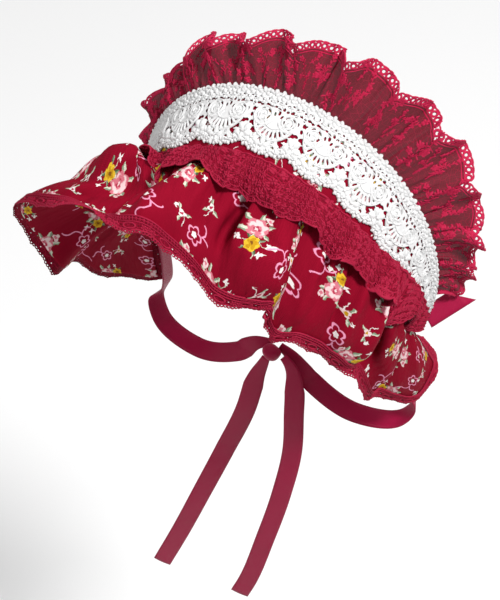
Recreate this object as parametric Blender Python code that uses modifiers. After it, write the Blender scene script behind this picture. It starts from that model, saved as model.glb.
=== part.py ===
"""Half bonnet: a printed band and fluted brim, guipure lace, two lace ruffles and ribbon ties.

Units are metres, +Z up, and the face looks towards -Y. The origin is the underside of the
band at its middle, where it sits on the top of the head.
"""

import math
from collections import namedtuple

import bmesh
import bpy
import numpy as np

# Head that the bonnet is shaped on, as half axes of an ellipsoid
HEAD_HALF_WIDTH = 0.0887
HEAD_HALF_LENGTH = 0.112
HEAD_HALF_HEIGHT = 0.112

# Walls and the clearance between pieces
CLOTH_WALL = 0.0014
LACE_WALL = 0.0011
RIBBON_WALL = 0.0010
CLEARANCE = 0.0003
FACET_SLACK = 0.0003

# Band
BAND_END_ANGLE = 106.0
BAND_BACK_FORWARD = 0.0155
BAND_WIDTH = 0.0405
BAND_TIP_WIDTH = 0.007

# Guipure strip
STRIP_INSET = 0.0005
STRIP_WIDTH_SHARE = 0.82
SCALLOP_SHARE = 0.17
SCALLOP_COUNT = 11
SCALLOP_COLUMNS = 10
STRIP_ROWS = 5
STRIP_END_ANGLE = 102.0
PIERCED_TO_ANGLE = 92.0
PIERCED_ROWS = (3, 1)

# Ruffles
BACK_RUFFLE_DEPTH = 0.036
BACK_RUFFLE_PITCH = 52.0
BACK_RUFFLE_END_ANGLE = 94.0
FRONT_RUFFLE_BAND_SIDE = 0.0045
FRONT_RUFFLE_BRIM_SIDE = 0.017
FRONT_RUFFLE_RISE = 0.006
FRONT_RUFFLE_GAP = 0.0018
FRONT_RUFFLE_CROWN = 3.6
FRONT_RUFFLE_END_ANGLE = 103.0

# Brim with its edge lace
BRIM_DEPTH = 0.070
EDGE_LACE_WIDTH = 0.006
EDGE_LACE_GAP = 0.0013
BRIM_COLUMNS = 95
BRIM_ROWS = 7
SEAM_GAP = 0.0016
PUFF_ALONG = 0.40
PUFF_FORWARD = 0.45

# Ribbons and knot
RIBBON_WIDTH = 0.0125
RIBBON_FOLD_LENGTH = 0.0243
RIBBON_FOLD_ANGLE = 104.0
RIBBON_FOLD_WAY = (0.494, 0.865, 0.082)
RIBBON_FOLD_BEHIND = 0.0013
RIBBON_FOLD_LIFT = 0.003
RIBBON_FOLD_SLANT = 0.007
RIBBON_PINCH = 0.40
RIBBON_SPREAD = 5.4
TAIL_LENGTH = 0.250
KNOT_HALF_WIDTH = 0.0062
KNOT_HALF_DEPTH = 0.0050
KNOT_HALF_HEIGHT = 0.0055
KNOT_TIE_SHARE = 0.45

COLLECTION_NAME = "half_bonnet"

# The band's front edge: angle from the top of the head, and share of the band's width
BandRow = namedtuple("BandRow", "angle width_share")
BAND_ROWS = [
    BandRow(0, 1.00),
    BandRow(20, 1.00),
    BandRow(42, 0.97),
    BandRow(64, 0.87),
    BandRow(80, 0.74),
    BandRow(95, 0.50),
    BandRow(106, 0.18),
]

# Brim folds: angle of the seam point, then where the edge lies from it along the seam, out from
# the head and forward, and how far the middle puffs out, all as shares of the brim's depth
BrimFold = namedtuple("BrimFold", "angle along out forward puff")
BRIM_FOLDS = [
    BrimFold(-106, -0.84, 0.22, -0.12, 0.14),
    BrimFold(-104, -0.90, 0.26, -0.12, 0.18),
    BrimFold(-99, -0.95, 0.34, -0.11, 0.30),
    BrimFold(-94, -0.82, 0.50, 0.05, 0.42),
    BrimFold(-90, -0.75, 0.58, 0.05, 0.46),
    BrimFold(-84, -0.59, 0.61, 0.40, 0.30),
    BrimFold(-77, -0.60, 0.77, 0.24, 0.50),
    BrimFold(-70, -0.54, 0.90, 0.14, 0.74),
    BrimFold(-64, -0.50, 0.84, 0.13, 0.80),
    BrimFold(-55, -0.24, 0.61, 0.33, 0.66),
    BrimFold(-46, 0.02, 0.55, 0.55, 0.24),
    BrimFold(-37, 0.07, 0.49, 0.65, 0.40),
    BrimFold(-29, 0.08, 0.42, 0.65, 0.42),
    BrimFold(-20, -0.02, 0.24, 0.71, 0.38),
    BrimFold(-10, -0.03, 0.03, 0.83, 0.30),
    BrimFold(-1, 0.01, -0.13, 0.96, 0.12),
    BrimFold(10, 0.14, -0.13, 0.96, 0.24),
    BrimFold(19, 0.22, -0.08, 0.86, 0.30),
    BrimFold(26, 0.24, -0.01, 0.79, 0.22),
    BrimFold(30, 0.25, -0.08, 0.86, 0.18),
    BrimFold(34, 0.30, -0.12, 0.89, 0.20),
    BrimFold(44, 0.32, -0.09, 0.81, 0.30),
    BrimFold(56, 0.34, -0.08, 0.71, 0.22),
    BrimFold(68, 0.38, -0.05, 0.63, 0.30),
    BrimFold(80, 0.53, -0.03, 0.51, 0.30),
    BrimFold(86, 0.89, -0.07, 0.37, 0.10),
    BrimFold(90, 0.84, -0.01, 0.28, 0.02),
    BrimFold(94, 0.90, 0.08, 0.16, 0.20),
    BrimFold(98, 0.93, 0.19, 0.04, 0.32),
    BrimFold(101, 0.83, 0.27, -0.03, 0.28),
    BrimFold(104, 0.55, 0.29, -0.16, 0.16),
    BrimFold(106, 0.44, 0.26, -0.18, 0.12),
]

# Ridges and valleys that run over the brim: their angle at the seam and at the edge, height as a
# share of the brim's depth, half width in degrees, and the shares of the way where they start and end
Crease = namedtuple("Crease", "seam_angle edge_angle height half_width start end")
CREASE_RISE = 0.15
CREASE_FADE = 0.25
CREASES = [
    Crease(-50, -64, 0.24, 11.0, 0.02, 0.47),
    Crease(-33, -49, -0.15, 6.5, 0.10, 0.98),
    Crease(-17, -31, 0.07, 6.5, 0.05, 1.00),
    Crease(-6, -12, -0.04, 4.0, 0.10, 0.80),
    Crease(5, -5, -0.07, 2.8, 0.10, 0.75),
    Crease(12, 18, -0.05, 6.0, 0.05, 0.60),
    Crease(12, 16, 0.06, 8.0, 0.45, 0.95),
    Crease(36, 44, -0.05, 4.0, 0.10, 0.80),
    Crease(58, 62, 0.05, 5.0, 0.05, 0.95),
    Crease(70, 77, -0.15, 4.0, 0.05, 1.00),
    Crease(84, 86, 0.06, 4.0, 0.10, 0.90),
]

# Back ruffle folds: angle, share of the ruffle's depth, lean back from straight out in degrees,
# and sway along the band as a share of the depth
BackFold = namedtuple("BackFold", "angle reach pitch sway")
BACK_FOLDS = [
    BackFold(-94, 0.66, 40, -0.70),
    BackFold(-87, 0.74, 14, -0.60),
    BackFold(-80, 0.70, 44, -0.55),
    BackFold(-73, 0.78, 10, -0.50),
    BackFold(-66, 0.70, 40, -0.45),
    BackFold(-59, 0.78, 8, -0.35),
    BackFold(-52, 0.64, 36, -0.25),
    BackFold(-46, 0.74, 8, -0.15),
    BackFold(-40, 0.62, 50, -0.05),
    BackFold(-34, 0.92, 14, -0.05),
    BackFold(-28, 0.72, 56, 0.00),
    BackFold(-21, 0.76, 32, 0.00),
    BackFold(-14, 0.78, 66, 0.00),
    BackFold(-7, 0.86, 40, 0.00),
    BackFold(0, 0.92, 66, 0.00),
    BackFold(7, 0.90, 36, 0.00),
    BackFold(14, 1.04, 62, 0.00),
    BackFold(21, 1.00, 34, 0.00),
    BackFold(28, 1.06, 58, 0.00),
    BackFold(35, 1.05, 34, 0.00),
    BackFold(42, 1.06, 56, 0.00),
    BackFold(49, 1.06, 30, 0.05),
    BackFold(56, 0.95, 56, 0.15),
    BackFold(63, 0.86, 30, 0.30),
    BackFold(70, 0.78, 56, 0.50),
    BackFold(76, 0.70, 28, 0.70),
    BackFold(82, 0.64, 50, 0.80),
    BackFold(88, 0.58, 24, 0.85),
    BackFold(94, 0.48, 40, 0.80),
]

# Front ruffle folds: angle, share of its reach over the brim, and share of its rise
FrontFold = namedtuple("FrontFold", "angle reach rise")
FRONT_FOLDS = [
    FrontFold(-103, 0.40, 0.10),
    FrontFold(-92, 0.70, 0.60),
    FrontFold(-82, 0.75, 0.10),
    FrontFold(-72, 0.85, 0.70),
    FrontFold(-62, 0.80, 0.15),
    FrontFold(-52, 0.85, 0.60),
    FrontFold(-42, 0.70, 0.10),
    FrontFold(-31, 0.90, 0.55),
    FrontFold(-20, 0.75, 0.10),
    FrontFold(-9, 0.90, 0.60),
    FrontFold(0, 0.80, 0.15),
    FrontFold(11, 1.00, 0.60),
    FrontFold(21, 0.92, 0.10),
    FrontFold(30, 0.95, 0.80),
    FrontFold(38, 1.05, 0.15),
    FrontFold(45, 0.95, 0.90),
    FrontFold(52, 1.05, 0.20),
    FrontFold(59, 1.15, 1.00),
    FrontFold(66, 1.20, 0.25),
    FrontFold(73, 1.25, 0.90),
    FrontFold(80, 1.10, 0.15),
    FrontFold(88, 0.85, 0.50),
    FrontFold(96, 0.60, 0.15),
    FrontFold(103, 0.40, 0.20),
]

# Ribbon runs from the band's tip to the knot, as shares of the head's half width, length and
# height, for the wearer's left. The wearer's right is its mirror image
RibbonPoint = namedtuple("RibbonPoint", "across forward down")
CHIN_TIE_RUN = [
    RibbonPoint(0.900, 0.228, 0.42),
    RibbonPoint(0.890, 0.228, 0.60),
    RibbonPoint(0.905, 0.230, 0.79),
    RibbonPoint(1.000, 0.240, 0.97),
    RibbonPoint(0.930, 0.280, 1.08),
    RibbonPoint(0.610, 0.330, 1.14),
    RibbonPoint(0.290, 0.338, 1.00),
    RibbonPoint(0.110, 0.330, 0.825),
]

# The knot's place, as shares of the head's half length and half height
KNOT_FORWARD = 0.375
KNOT_DOWN = 0.804

# Free ribbon ends, as shares of the tail's length from where each leaves the knot. That place is
# given as shares of the knot's half sizes
TAIL_LEFT_START = (1.29, 0.0, 0.0)
TAIL_RIGHT_START = (-0.48, -0.20, -1.04)
TailPoint = namedtuple("TailPoint", "left forward down")
TAIL_LEFT_RUN = [
    TailPoint(0.000, 0.000, 0.000),
    TailPoint(0.014, 0.004, 0.008),
    TailPoint(0.028, 0.008, 0.030),
    TailPoint(0.042, 0.024, 0.080),
    TailPoint(0.052, 0.048, 0.160),
    TailPoint(0.060, 0.072, 0.272),
    TailPoint(0.048, 0.112, 0.448),
    TailPoint(0.020, 0.156, 0.644),
    TailPoint(-0.020, 0.204, 0.864),
    TailPoint(-0.036, 0.216, 0.920),
]
TAIL_RIGHT_RUN = [
    TailPoint(0.000, 0.000, 0.000),
    TailPoint(-0.005, 0.005, 0.021),
    TailPoint(-0.016, 0.014, 0.061),
    TailPoint(-0.036, 0.048, 0.193),
    TailPoint(-0.084, 0.084, 0.377),
    TailPoint(-0.132, 0.128, 0.553),
    TailPoint(-0.192, 0.172, 0.769),
    TailPoint(-0.244, 0.204, 0.941),
]

# Ways that the ribbons' flat sides face: the tails, the folded ends at the wearer's left, and the
# chin ties as they come under the chin and up behind the knot
TAIL_FACING = (0.25, -0.9, 0.35)
FOLD_FACING = (0.4, -0.6, 0.7)
CHIN_FACING = (0.0, 0.5, -1.0)
KNOT_FACING = (0.0, 1.2, 0.0)


def column(rows, name):
    return np.array([getattr(row, name) for row in rows], float)


def smooth(x, xs, ys):
    """Cubic curve through the table's values, without overshoot past its ends."""
    x = np.clip(x, xs[0], xs[-1])
    i = np.clip(np.searchsorted(xs, x) - 1, 0, len(xs) - 2)
    slopes = np.gradient(ys, xs)
    h = xs[i + 1] - xs[i]
    u = (x - xs[i]) / h
    a = (1 + 2 * u) * (1 - u) ** 2 * ys[i] + u * (1 - u) ** 2 * h * slopes[i]
    b = u * u * (3 - 2 * u) * ys[i + 1] + u * u * (u - 1) * h * slopes[i + 1]
    return a + b


def from_table(rows, name, angle):
    return smooth(angle, column(rows, "angle"), column(rows, name))


def unit(v):
    return v / np.linalg.norm(v, axis=-1, keepdims=True)


def on_head(angle, forward, lift):
    """Point over the head, angle from its top towards the wearer's left, forward of its middle."""
    turn = np.radians(angle)
    round_share = np.sqrt(1 - (forward / HEAD_HALF_LENGTH) ** 2)
    x = (HEAD_HALF_WIDTH + lift) * round_share * np.sin(turn)
    z = (HEAD_HALF_HEIGHT + lift) * round_share * np.cos(turn)
    return np.stack([x, -forward + 0 * x, z], -1)


def head_axes(angle, forward):
    """Unit vectors at a point of the head: along the band, out from the head, and forward."""
    here = on_head(angle, forward, 0.0)
    along = on_head(angle + 0.5, forward, 0.0) - on_head(angle - 0.5, forward, 0.0)
    along = unit(along)
    half = np.array([HEAD_HALF_WIDTH, HEAD_HALF_LENGTH, HEAD_HALF_HEIGHT])
    out = here / half**2
    out = out - along * (out * along).sum(-1, keepdims=True)
    out = unit(out)
    ahead = np.cross(out, along)
    return along, out, ahead * np.where(ahead[..., 1:2] > 0, -1, 1)


def band_width(angle):
    share = smooth(np.abs(angle), column(BAND_ROWS, "angle"), column(BAND_ROWS, "width_share"))
    return BAND_TIP_WIDTH + (BAND_WIDTH - BAND_TIP_WIDTH) * (share - 0.18) / 0.82


def band_back(angle):
    """The back edge runs straight over the head and turns a little forward at the tips."""
    past = np.clip((np.abs(angle) - 80) / 26, 0, 1)
    return BAND_BACK_FORWARD + 0.006 * past**2


def band_front(angle):
    return band_back(angle) + band_width(angle)


def ease(x):
    x = np.clip(x, 0, 1)
    return x * x * (3 - 2 * x)


def brim_sweep(angle, share):
    """Point of the brim before its creases: share 0 is the seam and 1 the edge with its lace."""
    seam = band_front(angle)
    along, out, ahead = head_axes(angle, seam)
    start = on_head(angle, seam, CLOTH_WALL / 2) + ahead * SEAM_GAP
    to_along = from_table(BRIM_FOLDS, "along", angle)[..., None] * along
    to_ahead = from_table(BRIM_FOLDS, "forward", angle)[..., None] * ahead
    to_out = from_table(BRIM_FOLDS, "out", angle)[..., None] * out
    puff = from_table(BRIM_FOLDS, "puff", angle)[..., None] * out
    edge = start + BRIM_DEPTH * (to_along + to_out + to_ahead)
    half_way = PUFF_ALONG * to_along + PUFF_FORWARD * to_ahead
    middle = start + BRIM_DEPTH * (half_way + puff)
    t = np.asarray(share)[..., None]
    return (1 - t) ** 2 * start + 2 * t * (1 - t) * middle + t * t * edge


def crease_height(angle, share):
    """Height of the ridges and valleys at a point of the brim, in metres."""
    height = np.zeros(np.broadcast(angle, share).shape)
    for row in CREASES:
        middle = row.seam_angle + (row.edge_angle - row.seam_angle) * share
        bell = np.exp(-((angle - middle) / row.half_width) ** 2)
        window = ease((share - row.start) / CREASE_RISE) * ease((row.end - share) / CREASE_FADE)
        height = height + BRIM_DEPTH * row.height * bell * window
    return height


def brim_point(angle, share):
    """Point of the brim's middle surface, with its creases."""
    point = brim_sweep(angle, share)
    da = brim_sweep(angle + 0.2, share) - brim_sweep(angle - 0.2, share)
    dt = brim_sweep(angle, share + 0.01) - brim_sweep(angle, share - 0.01)
    return point + unit(np.cross(dt, da)) * crease_height(angle, share)[..., None]


def brim_out(angle, share):
    """Unit vector out from the brim's upper side."""
    da = brim_point(angle + 0.2, share) - brim_point(angle - 0.2, share)
    dt = brim_point(angle, share + 0.01) - brim_point(angle, share - 0.01)
    return unit(np.cross(dt, da))


def mount_shift():
    """The head's middle, as seen from the band's underside at its middle."""
    middle = BAND_BACK_FORWARD + BAND_WIDTH / 2
    return -on_head(np.array(0.0), middle, 0.0)


def add_object(name, shape, material):
    """New object from a bmesh, in the object's own collection."""
    mesh = bpy.data.meshes.new(name)
    shape.to_mesh(mesh)
    shape.free()
    obj = bpy.data.objects.new(name, mesh)
    obj.data.materials.append(material)
    bpy.data.collections[COLLECTION_NAME].objects.link(obj)
    return obj


def add_sheet(name, middle, wall, material, holes=()):
    """Sheet with a wall, on a grid of points. Holes are cells of the grid that are left out."""
    columns, rows = middle.shape[:2]
    placed = middle + mount_shift()
    sheet = bmesh.new()
    bmesh.ops.create_grid(sheet, x_segments=columns - 1, y_segments=rows - 1, size=0.5)
    cells = {}
    for face in sheet.faces:
        centre = face.calc_center_median()
        cell = (int((centre.x + 0.5) * (columns - 1)), int((centre.y + 0.5) * (rows - 1)))
        cells[cell] = face
    bmesh.ops.delete(sheet, geom=[cells[cell] for cell in holes], context="FACES")
    for vertex in sheet.verts:
        i = round((vertex.co.x + 0.5) * (columns - 1))
        j = round((vertex.co.y + 0.5) * (rows - 1))
        vertex.co = placed[i, j]
    bmesh.ops.triangulate(sheet, faces=sheet.faces, quad_method="FIXED")
    obj = add_object(name, sheet, material)
    solidify = obj.modifiers.new("wall", "SOLIDIFY")
    solidify.thickness = wall
    solidify.offset = 0.0
    solidify.use_even_offset = False
    return obj


def make_material(name, colour, roughness):
    material = bpy.data.materials.new(name)
    material.use_nodes = True
    shader = material.node_tree.nodes["Principled BSDF"]
    shader.inputs["Base Color"].default_value = (*colour, 1.0)
    shader.inputs["Roughness"].default_value = roughness
    shader.inputs["Metallic"].default_value = 0.0
    return material


def make_band(material):
    angles = np.linspace(-BAND_END_ANGLE, BAND_END_ANGLE, 56)
    across = np.linspace(0, 1, 6)
    angle, share = np.meshgrid(angles, across, indexing="ij")
    forward = band_back(angle) + band_width(angle) * share
    add_sheet("band", on_head(angle, forward, CLOTH_WALL / 2), CLOTH_WALL, material)


def strip_forward(angle, share):
    """Forward position in the guipure strip, whose front edge hangs in scallops."""
    repeat = 2 * STRIP_END_ANGLE / SCALLOP_COUNT
    phase = (angle + STRIP_END_ANGLE) / repeat
    from_bottom = np.abs(2 * (phase % 1) - 1)
    dip = SCALLOP_SHARE * (1 - np.sqrt(1 - from_bottom**2))
    width = band_width(angle) * (STRIP_WIDTH_SHARE - dip * share**3)
    return band_back(angle) + STRIP_INSET + width * share


def make_lace_strip(material):
    columns = SCALLOP_COUNT * SCALLOP_COLUMNS
    angles = np.linspace(-STRIP_END_ANGLE, STRIP_END_ANGLE, columns + 1)
    across = np.linspace(0, 1, STRIP_ROWS + 1)
    angle, share = np.meshgrid(angles, across, indexing="ij")
    lift = CLOTH_WALL + CLEARANCE + FACET_SLACK + LACE_WALL / 2
    middle = on_head(angle, strip_forward(angle, share), lift)
    holes = []
    for cell in range(columns):
        if abs(angles[cell]) < PIERCED_TO_ANGLE:
            holes.append((cell, PIERCED_ROWS[cell % 2]))
    add_sheet("lace_strip", middle, LACE_WALL, material, holes)


def back_ruffle_point(angle, share):
    """Point of the back ruffle: share 0 is at the band and 1 its scalloped edge."""
    forward = band_back(angle) - CLEARANCE - LACE_WALL * 0.6
    along, out, ahead = head_axes(angle, forward)
    start = on_head(angle, forward, LACE_WALL)
    pitch = np.radians(from_table(BACK_FOLDS, "pitch", angle))[..., None]
    mean = math.radians(BACK_RUFFLE_PITCH)
    reach = BACK_RUFFLE_DEPTH * from_table(BACK_FOLDS, "reach", angle)[..., None]
    sway = from_table(BACK_FOLDS, "sway", angle)[..., None]
    t = np.asarray(share)[..., None]
    turn = mean + (pitch - mean) * t**0.6
    push = out * np.sin(turn) - ahead * np.cos(turn)
    return start + reach * t * (push + sway * t * along)


def make_back_ruffle(material):
    angles = np.linspace(-BACK_RUFFLE_END_ANGLE, BACK_RUFFLE_END_ANGLE, 108)
    angle, share = np.meshgrid(angles, np.linspace(0, 1, 4), indexing="ij")
    middle = back_ruffle_point(angle, share)[:, ::-1]
    add_sheet("back_ruffle", middle, LACE_WALL, material)


def front_ruffle_point(angle, share):
    """Point of the front ruffle, which covers the seam: share 0 is on the band, 1 on the brim."""
    lift = CLOTH_WALL + 2 * (CLEARANCE + FACET_SLACK) + LACE_WALL * 1.5
    heading = on_head(angle, band_front(angle) - FRONT_RUFFLE_BAND_SIDE, lift)
    reach = FRONT_RUFFLE_BRIM_SIDE * from_table(FRONT_FOLDS, "reach", angle)
    rise = FRONT_RUFFLE_RISE * from_table(FRONT_FOLDS, "rise", angle)
    clear = CLOTH_WALL / 2 + LACE_WALL / 2 + FRONT_RUFFLE_GAP
    brim_share = reach / BRIM_DEPTH
    hem = brim_point(angle, brim_share) + brim_out(angle, brim_share) * (clear + rise)[..., None]
    half = brim_share * 0.4
    crown_lift = (FRONT_RUFFLE_CROWN * clear + 1.2 * rise)[..., None]
    crown = brim_point(angle, half) + brim_out(angle, half) * crown_lift
    t = np.asarray(share)[..., None]
    return (1 - t) ** 2 * heading + 2 * t * (1 - t) * crown + t * t * hem


def make_front_ruffle(material):
    angles = np.linspace(-FRONT_RUFFLE_END_ANGLE, FRONT_RUFFLE_END_ANGLE, 100)
    angle, share = np.meshgrid(angles, np.linspace(0, 1, 3), indexing="ij")
    add_sheet("front_ruffle", front_ruffle_point(angle, share), LACE_WALL, material)


def brim_marks():
    """Angles and shares of the brim's grid, which its edge lace follows."""
    angles = np.linspace(-BAND_END_ANGLE, BAND_END_ANGLE, BRIM_COLUMNS)
    return angles, np.linspace(0, 1 - EDGE_LACE_WIDTH / BRIM_DEPTH, BRIM_ROWS)


def make_brim(material):
    angle, share = np.meshgrid(*brim_marks(), indexing="ij")
    add_sheet("brim", brim_point(angle, share), CLOTH_WALL, material)


def edge_lace_rows():
    """Rows of the edge lace: each point of the brim's edge and the way out from it."""
    angles, shares = brim_marks()
    cloth_share = shares[-1]
    shares = shares[2:]
    rows = []
    for side in (-1, 1):
        end = np.full_like(shares, side * BAND_END_ANGLE)
        here = brim_point(end, shares)
        out = unit(here - brim_point(end - side * 1.5, shares))
        rows.append((here, out))
    here = brim_point(angles, cloth_share + 0 * angles)
    out = unit(here - brim_point(angles, cloth_share - 0.05 + 0 * angles))
    first, last = rows
    points = np.concatenate([first[0], here, last[0][::-1]])
    ways = np.concatenate([first[1], out, last[1][::-1]])
    return points, ways


def make_edge_lace(material):
    points, ways = edge_lace_rows()
    inner = points + ways * EDGE_LACE_GAP
    outer = points + ways * EDGE_LACE_WIDTH
    add_sheet("edge_lace", np.stack([inner, outer], 1), LACE_WALL, material)


def through(points, count):
    """Smooth run through a few points, spaced by their distances."""
    points = np.array(points, float)
    steps = np.linalg.norm(np.diff(points, axis=0), axis=1)
    knots = np.concatenate([[0.0], np.cumsum(steps)])
    at = np.linspace(0, knots[-1], count)
    return np.stack([smooth(at, knots, points[:, k]) for k in range(3)], -1)


def pinched(count, from_start, to_end):
    """Ribbon widths along a run, drawn in where the ribbon meets the knot."""
    share = np.linspace(0, 1, count)
    width = np.ones(count)
    if from_start:
        width = np.minimum(width, RIBBON_PINCH + RIBBON_SPREAD * share)
    if to_end:
        width = np.minimum(width, RIBBON_PINCH + RIBBON_SPREAD * (1 - share))
    return RIBBON_WIDTH * width


def ribbon_grid(run, facing, widths, slant=0.0):
    """Ribbon along a run, its flat side towards facing. Slant cuts its last end at an angle."""
    way = unit(np.gradient(run, axis=0))
    side = unit(np.cross(way, facing))
    half = np.asarray(widths)[..., None] / 2
    left = run - side * half
    right = run + side * half
    left[-1] -= way[-1] * slant
    right[-1] += way[-1] * slant
    return np.stack([left, right], 1)


def knot_sizes():
    return np.array([KNOT_HALF_WIDTH, KNOT_HALF_DEPTH, KNOT_HALF_HEIGHT])


def knot_middle():
    return np.array([0.0, -KNOT_FORWARD * HEAD_HALF_LENGTH, -KNOT_DOWN * HEAD_HALF_HEIGHT])


def chin_tie_run(side, count):
    """From under the band's tip, down the cheek and under the chin to the back of the knot."""
    under = -(CLEARANCE + FACET_SLACK + RIBBON_WALL / 2)
    tip = band_back(np.array(BAND_END_ANGLE)) + band_width(np.array(BAND_END_ANGLE)) / 2
    rows = [on_head(np.array(side * (BAND_END_ANGLE - 3)), tip, under)]
    rows.append(on_head(np.array(side * (BAND_END_ANGLE + 1)), tip, under))
    for point in CHIN_TIE_RUN:
        x = side * point.across * HEAD_HALF_WIDTH
        y = -point.forward * HEAD_HALF_LENGTH
        rows.append(np.array([x, y, -point.down * HEAD_HALF_HEIGHT]))
    behind = KNOT_HALF_DEPTH + CLEARANCE + 2 * FACET_SLACK + RIBBON_WALL / 2
    rows.append(knot_middle() + np.array([side * KNOT_HALF_WIDTH * KNOT_TIE_SHARE, behind, 0.0]))
    return through(rows, count)


def make_ribbons(material):
    for side, name in ((1, "left"), (-1, "right")):
        run = chin_tie_run(side, 30)
        share = np.linspace(0, 1, len(run))[:, None]
        tip = np.array(BAND_END_ANGLE * side)
        cheek = head_axes(tip, band_front(tip))[1]
        outward = cheek * (1 - share) + np.array(CHIN_FACING) * share
        outward = outward + np.array(KNOT_FACING) * np.clip(share * 6 - 5, 0, 1)
        grid = ribbon_grid(run, unit(outward), pinched(len(run), False, True))
        add_sheet("chin_tie_" + name, grid, RIBBON_WALL, material)
    tails = (("left", TAIL_LEFT_START, TAIL_LEFT_RUN), ("right", TAIL_RIGHT_START, TAIL_RIGHT_RUN))
    for name, start, rows in tails:
        shares = [(p.left, -p.forward, -p.down) for p in rows]
        run = knot_middle() + knot_sizes() * start + TAIL_LENGTH * through(shares, 24)
        facing = np.tile(TAIL_FACING, (len(run), 1))
        grid = ribbon_grid(run, facing, pinched(len(run), True, False))
        add_sheet("tie_tail_" + name, grid, RIBBON_WALL, material)
    for side, name in ((1, "left"), (-1, "right")):
        angle = np.array(side * RIBBON_FOLD_ANGLE)
        start = on_head(angle, band_back(angle) - RIBBON_FOLD_BEHIND, RIBBON_FOLD_LIFT)
        way = unit(np.array(RIBBON_FOLD_WAY)) * np.array([side, 1, 1])
        run = start + RIBBON_FOLD_LENGTH * np.outer(np.linspace(0, 1, 6), way)
        facing = np.tile(np.array(FOLD_FACING) * (side, 1, 1), (len(run), 1))
        grid = ribbon_grid(run, facing, RIBBON_WIDTH, RIBBON_FOLD_SLANT)
        add_sheet("ribbon_fold_" + name, grid, RIBBON_WALL, material)


def make_knot(material):
    """Plain rounded knot under the chin."""
    knot = bmesh.new()
    bmesh.ops.create_uvsphere(knot, u_segments=16, v_segments=8, radius=1.0)
    bmesh.ops.scale(knot, vec=knot_sizes(), verts=knot.verts)
    bmesh.ops.translate(knot, vec=knot_middle() + mount_shift(), verts=knot.verts)
    add_object("tie_knot", knot, material)


def main():
    for obj in list(bpy.data.objects):
        bpy.data.objects.remove(obj, do_unlink=True)
    collection = bpy.data.collections.new(COLLECTION_NAME)
    bpy.context.scene.collection.children.link(collection)
    print_cotton = make_material("printed_cotton", (0.42, 0.012, 0.035), 0.75)
    white_lace = make_material("white_guipure", (0.86, 0.86, 0.86), 0.8)
    red_lace = make_material("red_lace", (0.48, 0.02, 0.06), 0.7)
    satin = make_material("satin_ribbon", (0.28, 0.016, 0.055), 0.4)
    make_band(print_cotton)
    make_lace_strip(white_lace)
    make_back_ruffle(red_lace)
    make_front_ruffle(red_lace)
    make_brim(print_cotton)
    make_edge_lace(red_lace)
    make_ribbons(satin)
    make_knot(satin)


main()
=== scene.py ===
"""Half bonnet: the looks of its cloth, lace and ribbons, the studio and the camera.

Units are metres in the frame of the loaded model: +Z up, the face looks towards -Y, and the
origin is the underside of the band at its middle.
"""

import math
from collections import namedtuple

import bpy
import numpy as np
from mathutils import Matrix, Vector


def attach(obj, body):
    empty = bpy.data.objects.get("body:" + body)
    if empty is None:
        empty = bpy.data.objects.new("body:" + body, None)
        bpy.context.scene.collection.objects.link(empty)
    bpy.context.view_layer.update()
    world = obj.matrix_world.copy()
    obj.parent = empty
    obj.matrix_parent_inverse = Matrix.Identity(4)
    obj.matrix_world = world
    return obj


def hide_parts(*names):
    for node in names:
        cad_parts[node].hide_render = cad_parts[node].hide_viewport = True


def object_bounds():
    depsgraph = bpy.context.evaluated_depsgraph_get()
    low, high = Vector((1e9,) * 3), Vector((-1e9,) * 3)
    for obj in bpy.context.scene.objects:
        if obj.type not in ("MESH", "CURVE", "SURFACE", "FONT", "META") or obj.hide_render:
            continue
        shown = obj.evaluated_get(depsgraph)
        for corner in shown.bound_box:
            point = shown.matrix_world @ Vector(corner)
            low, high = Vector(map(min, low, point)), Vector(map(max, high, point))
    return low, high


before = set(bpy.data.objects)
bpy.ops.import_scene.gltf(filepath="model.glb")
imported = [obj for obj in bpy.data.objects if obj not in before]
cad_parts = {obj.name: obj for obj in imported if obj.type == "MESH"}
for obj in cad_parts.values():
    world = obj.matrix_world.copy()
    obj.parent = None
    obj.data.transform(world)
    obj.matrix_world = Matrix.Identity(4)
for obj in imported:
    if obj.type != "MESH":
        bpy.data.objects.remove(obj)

def table(names, *rows):
    """Rows of numbers with named columns."""
    row = namedtuple("row", names)
    return [row(*values) for values in rows]


CAD_BOX = [[float(value) for value in corner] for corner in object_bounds()]

# Head that the bonnet is shaped on, as half axes of an ellipsoid
HEAD_HALF_WIDTH = 0.0887
HEAD_HALF_LENGTH = 0.112
HEAD_HALF_HEIGHT = 0.112

# Walls and the clearance between pieces
CLOTH_WALL = 0.0014
LACE_WALL = 0.0011
RIBBON_WALL = 0.0010
CLEARANCE = 0.0003
FACET_SLACK = 0.0003

# Band
BAND_END_ANGLE = 106.0
BAND_BACK_FORWARD = 0.0155
BAND_WIDTH = 0.0405
BAND_TIP_WIDTH = 0.007
BAND_TIP_SHARE = 0.18
BAND_TURN_ANGLE = 80.0
BAND_TURN_FORWARD = 0.006

# Guipure strip
STRIP_INSET = 0.0005
STRIP_WIDTH_SHARE = 0.82
STRIP_END_ANGLE = 102.0

# Ruffles
BACK_RUFFLE_DEPTH = 0.036
BACK_RUFFLE_PITCH = 52.0
BACK_RUFFLE_CURL = 0.6
LACE_SEAT_SHARE = 0.6
FRONT_RUFFLE_BAND_SIDE = 0.0045
FRONT_RUFFLE_BRIM_SIDE = 0.017
FRONT_RUFFLE_RISE = 0.006
FRONT_RUFFLE_END_ANGLE = 103.0

# Brim with its edge lace
BRIM_DEPTH = 0.070
SEAM_GAP = 0.0016
PUFF_ALONG = 0.40
PUFF_FORWARD = 0.45
EDGE_LACE_WIDTH = 0.006
CLOTH_SHARE = 1 - EDGE_LACE_WIDTH / BRIM_DEPTH

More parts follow.
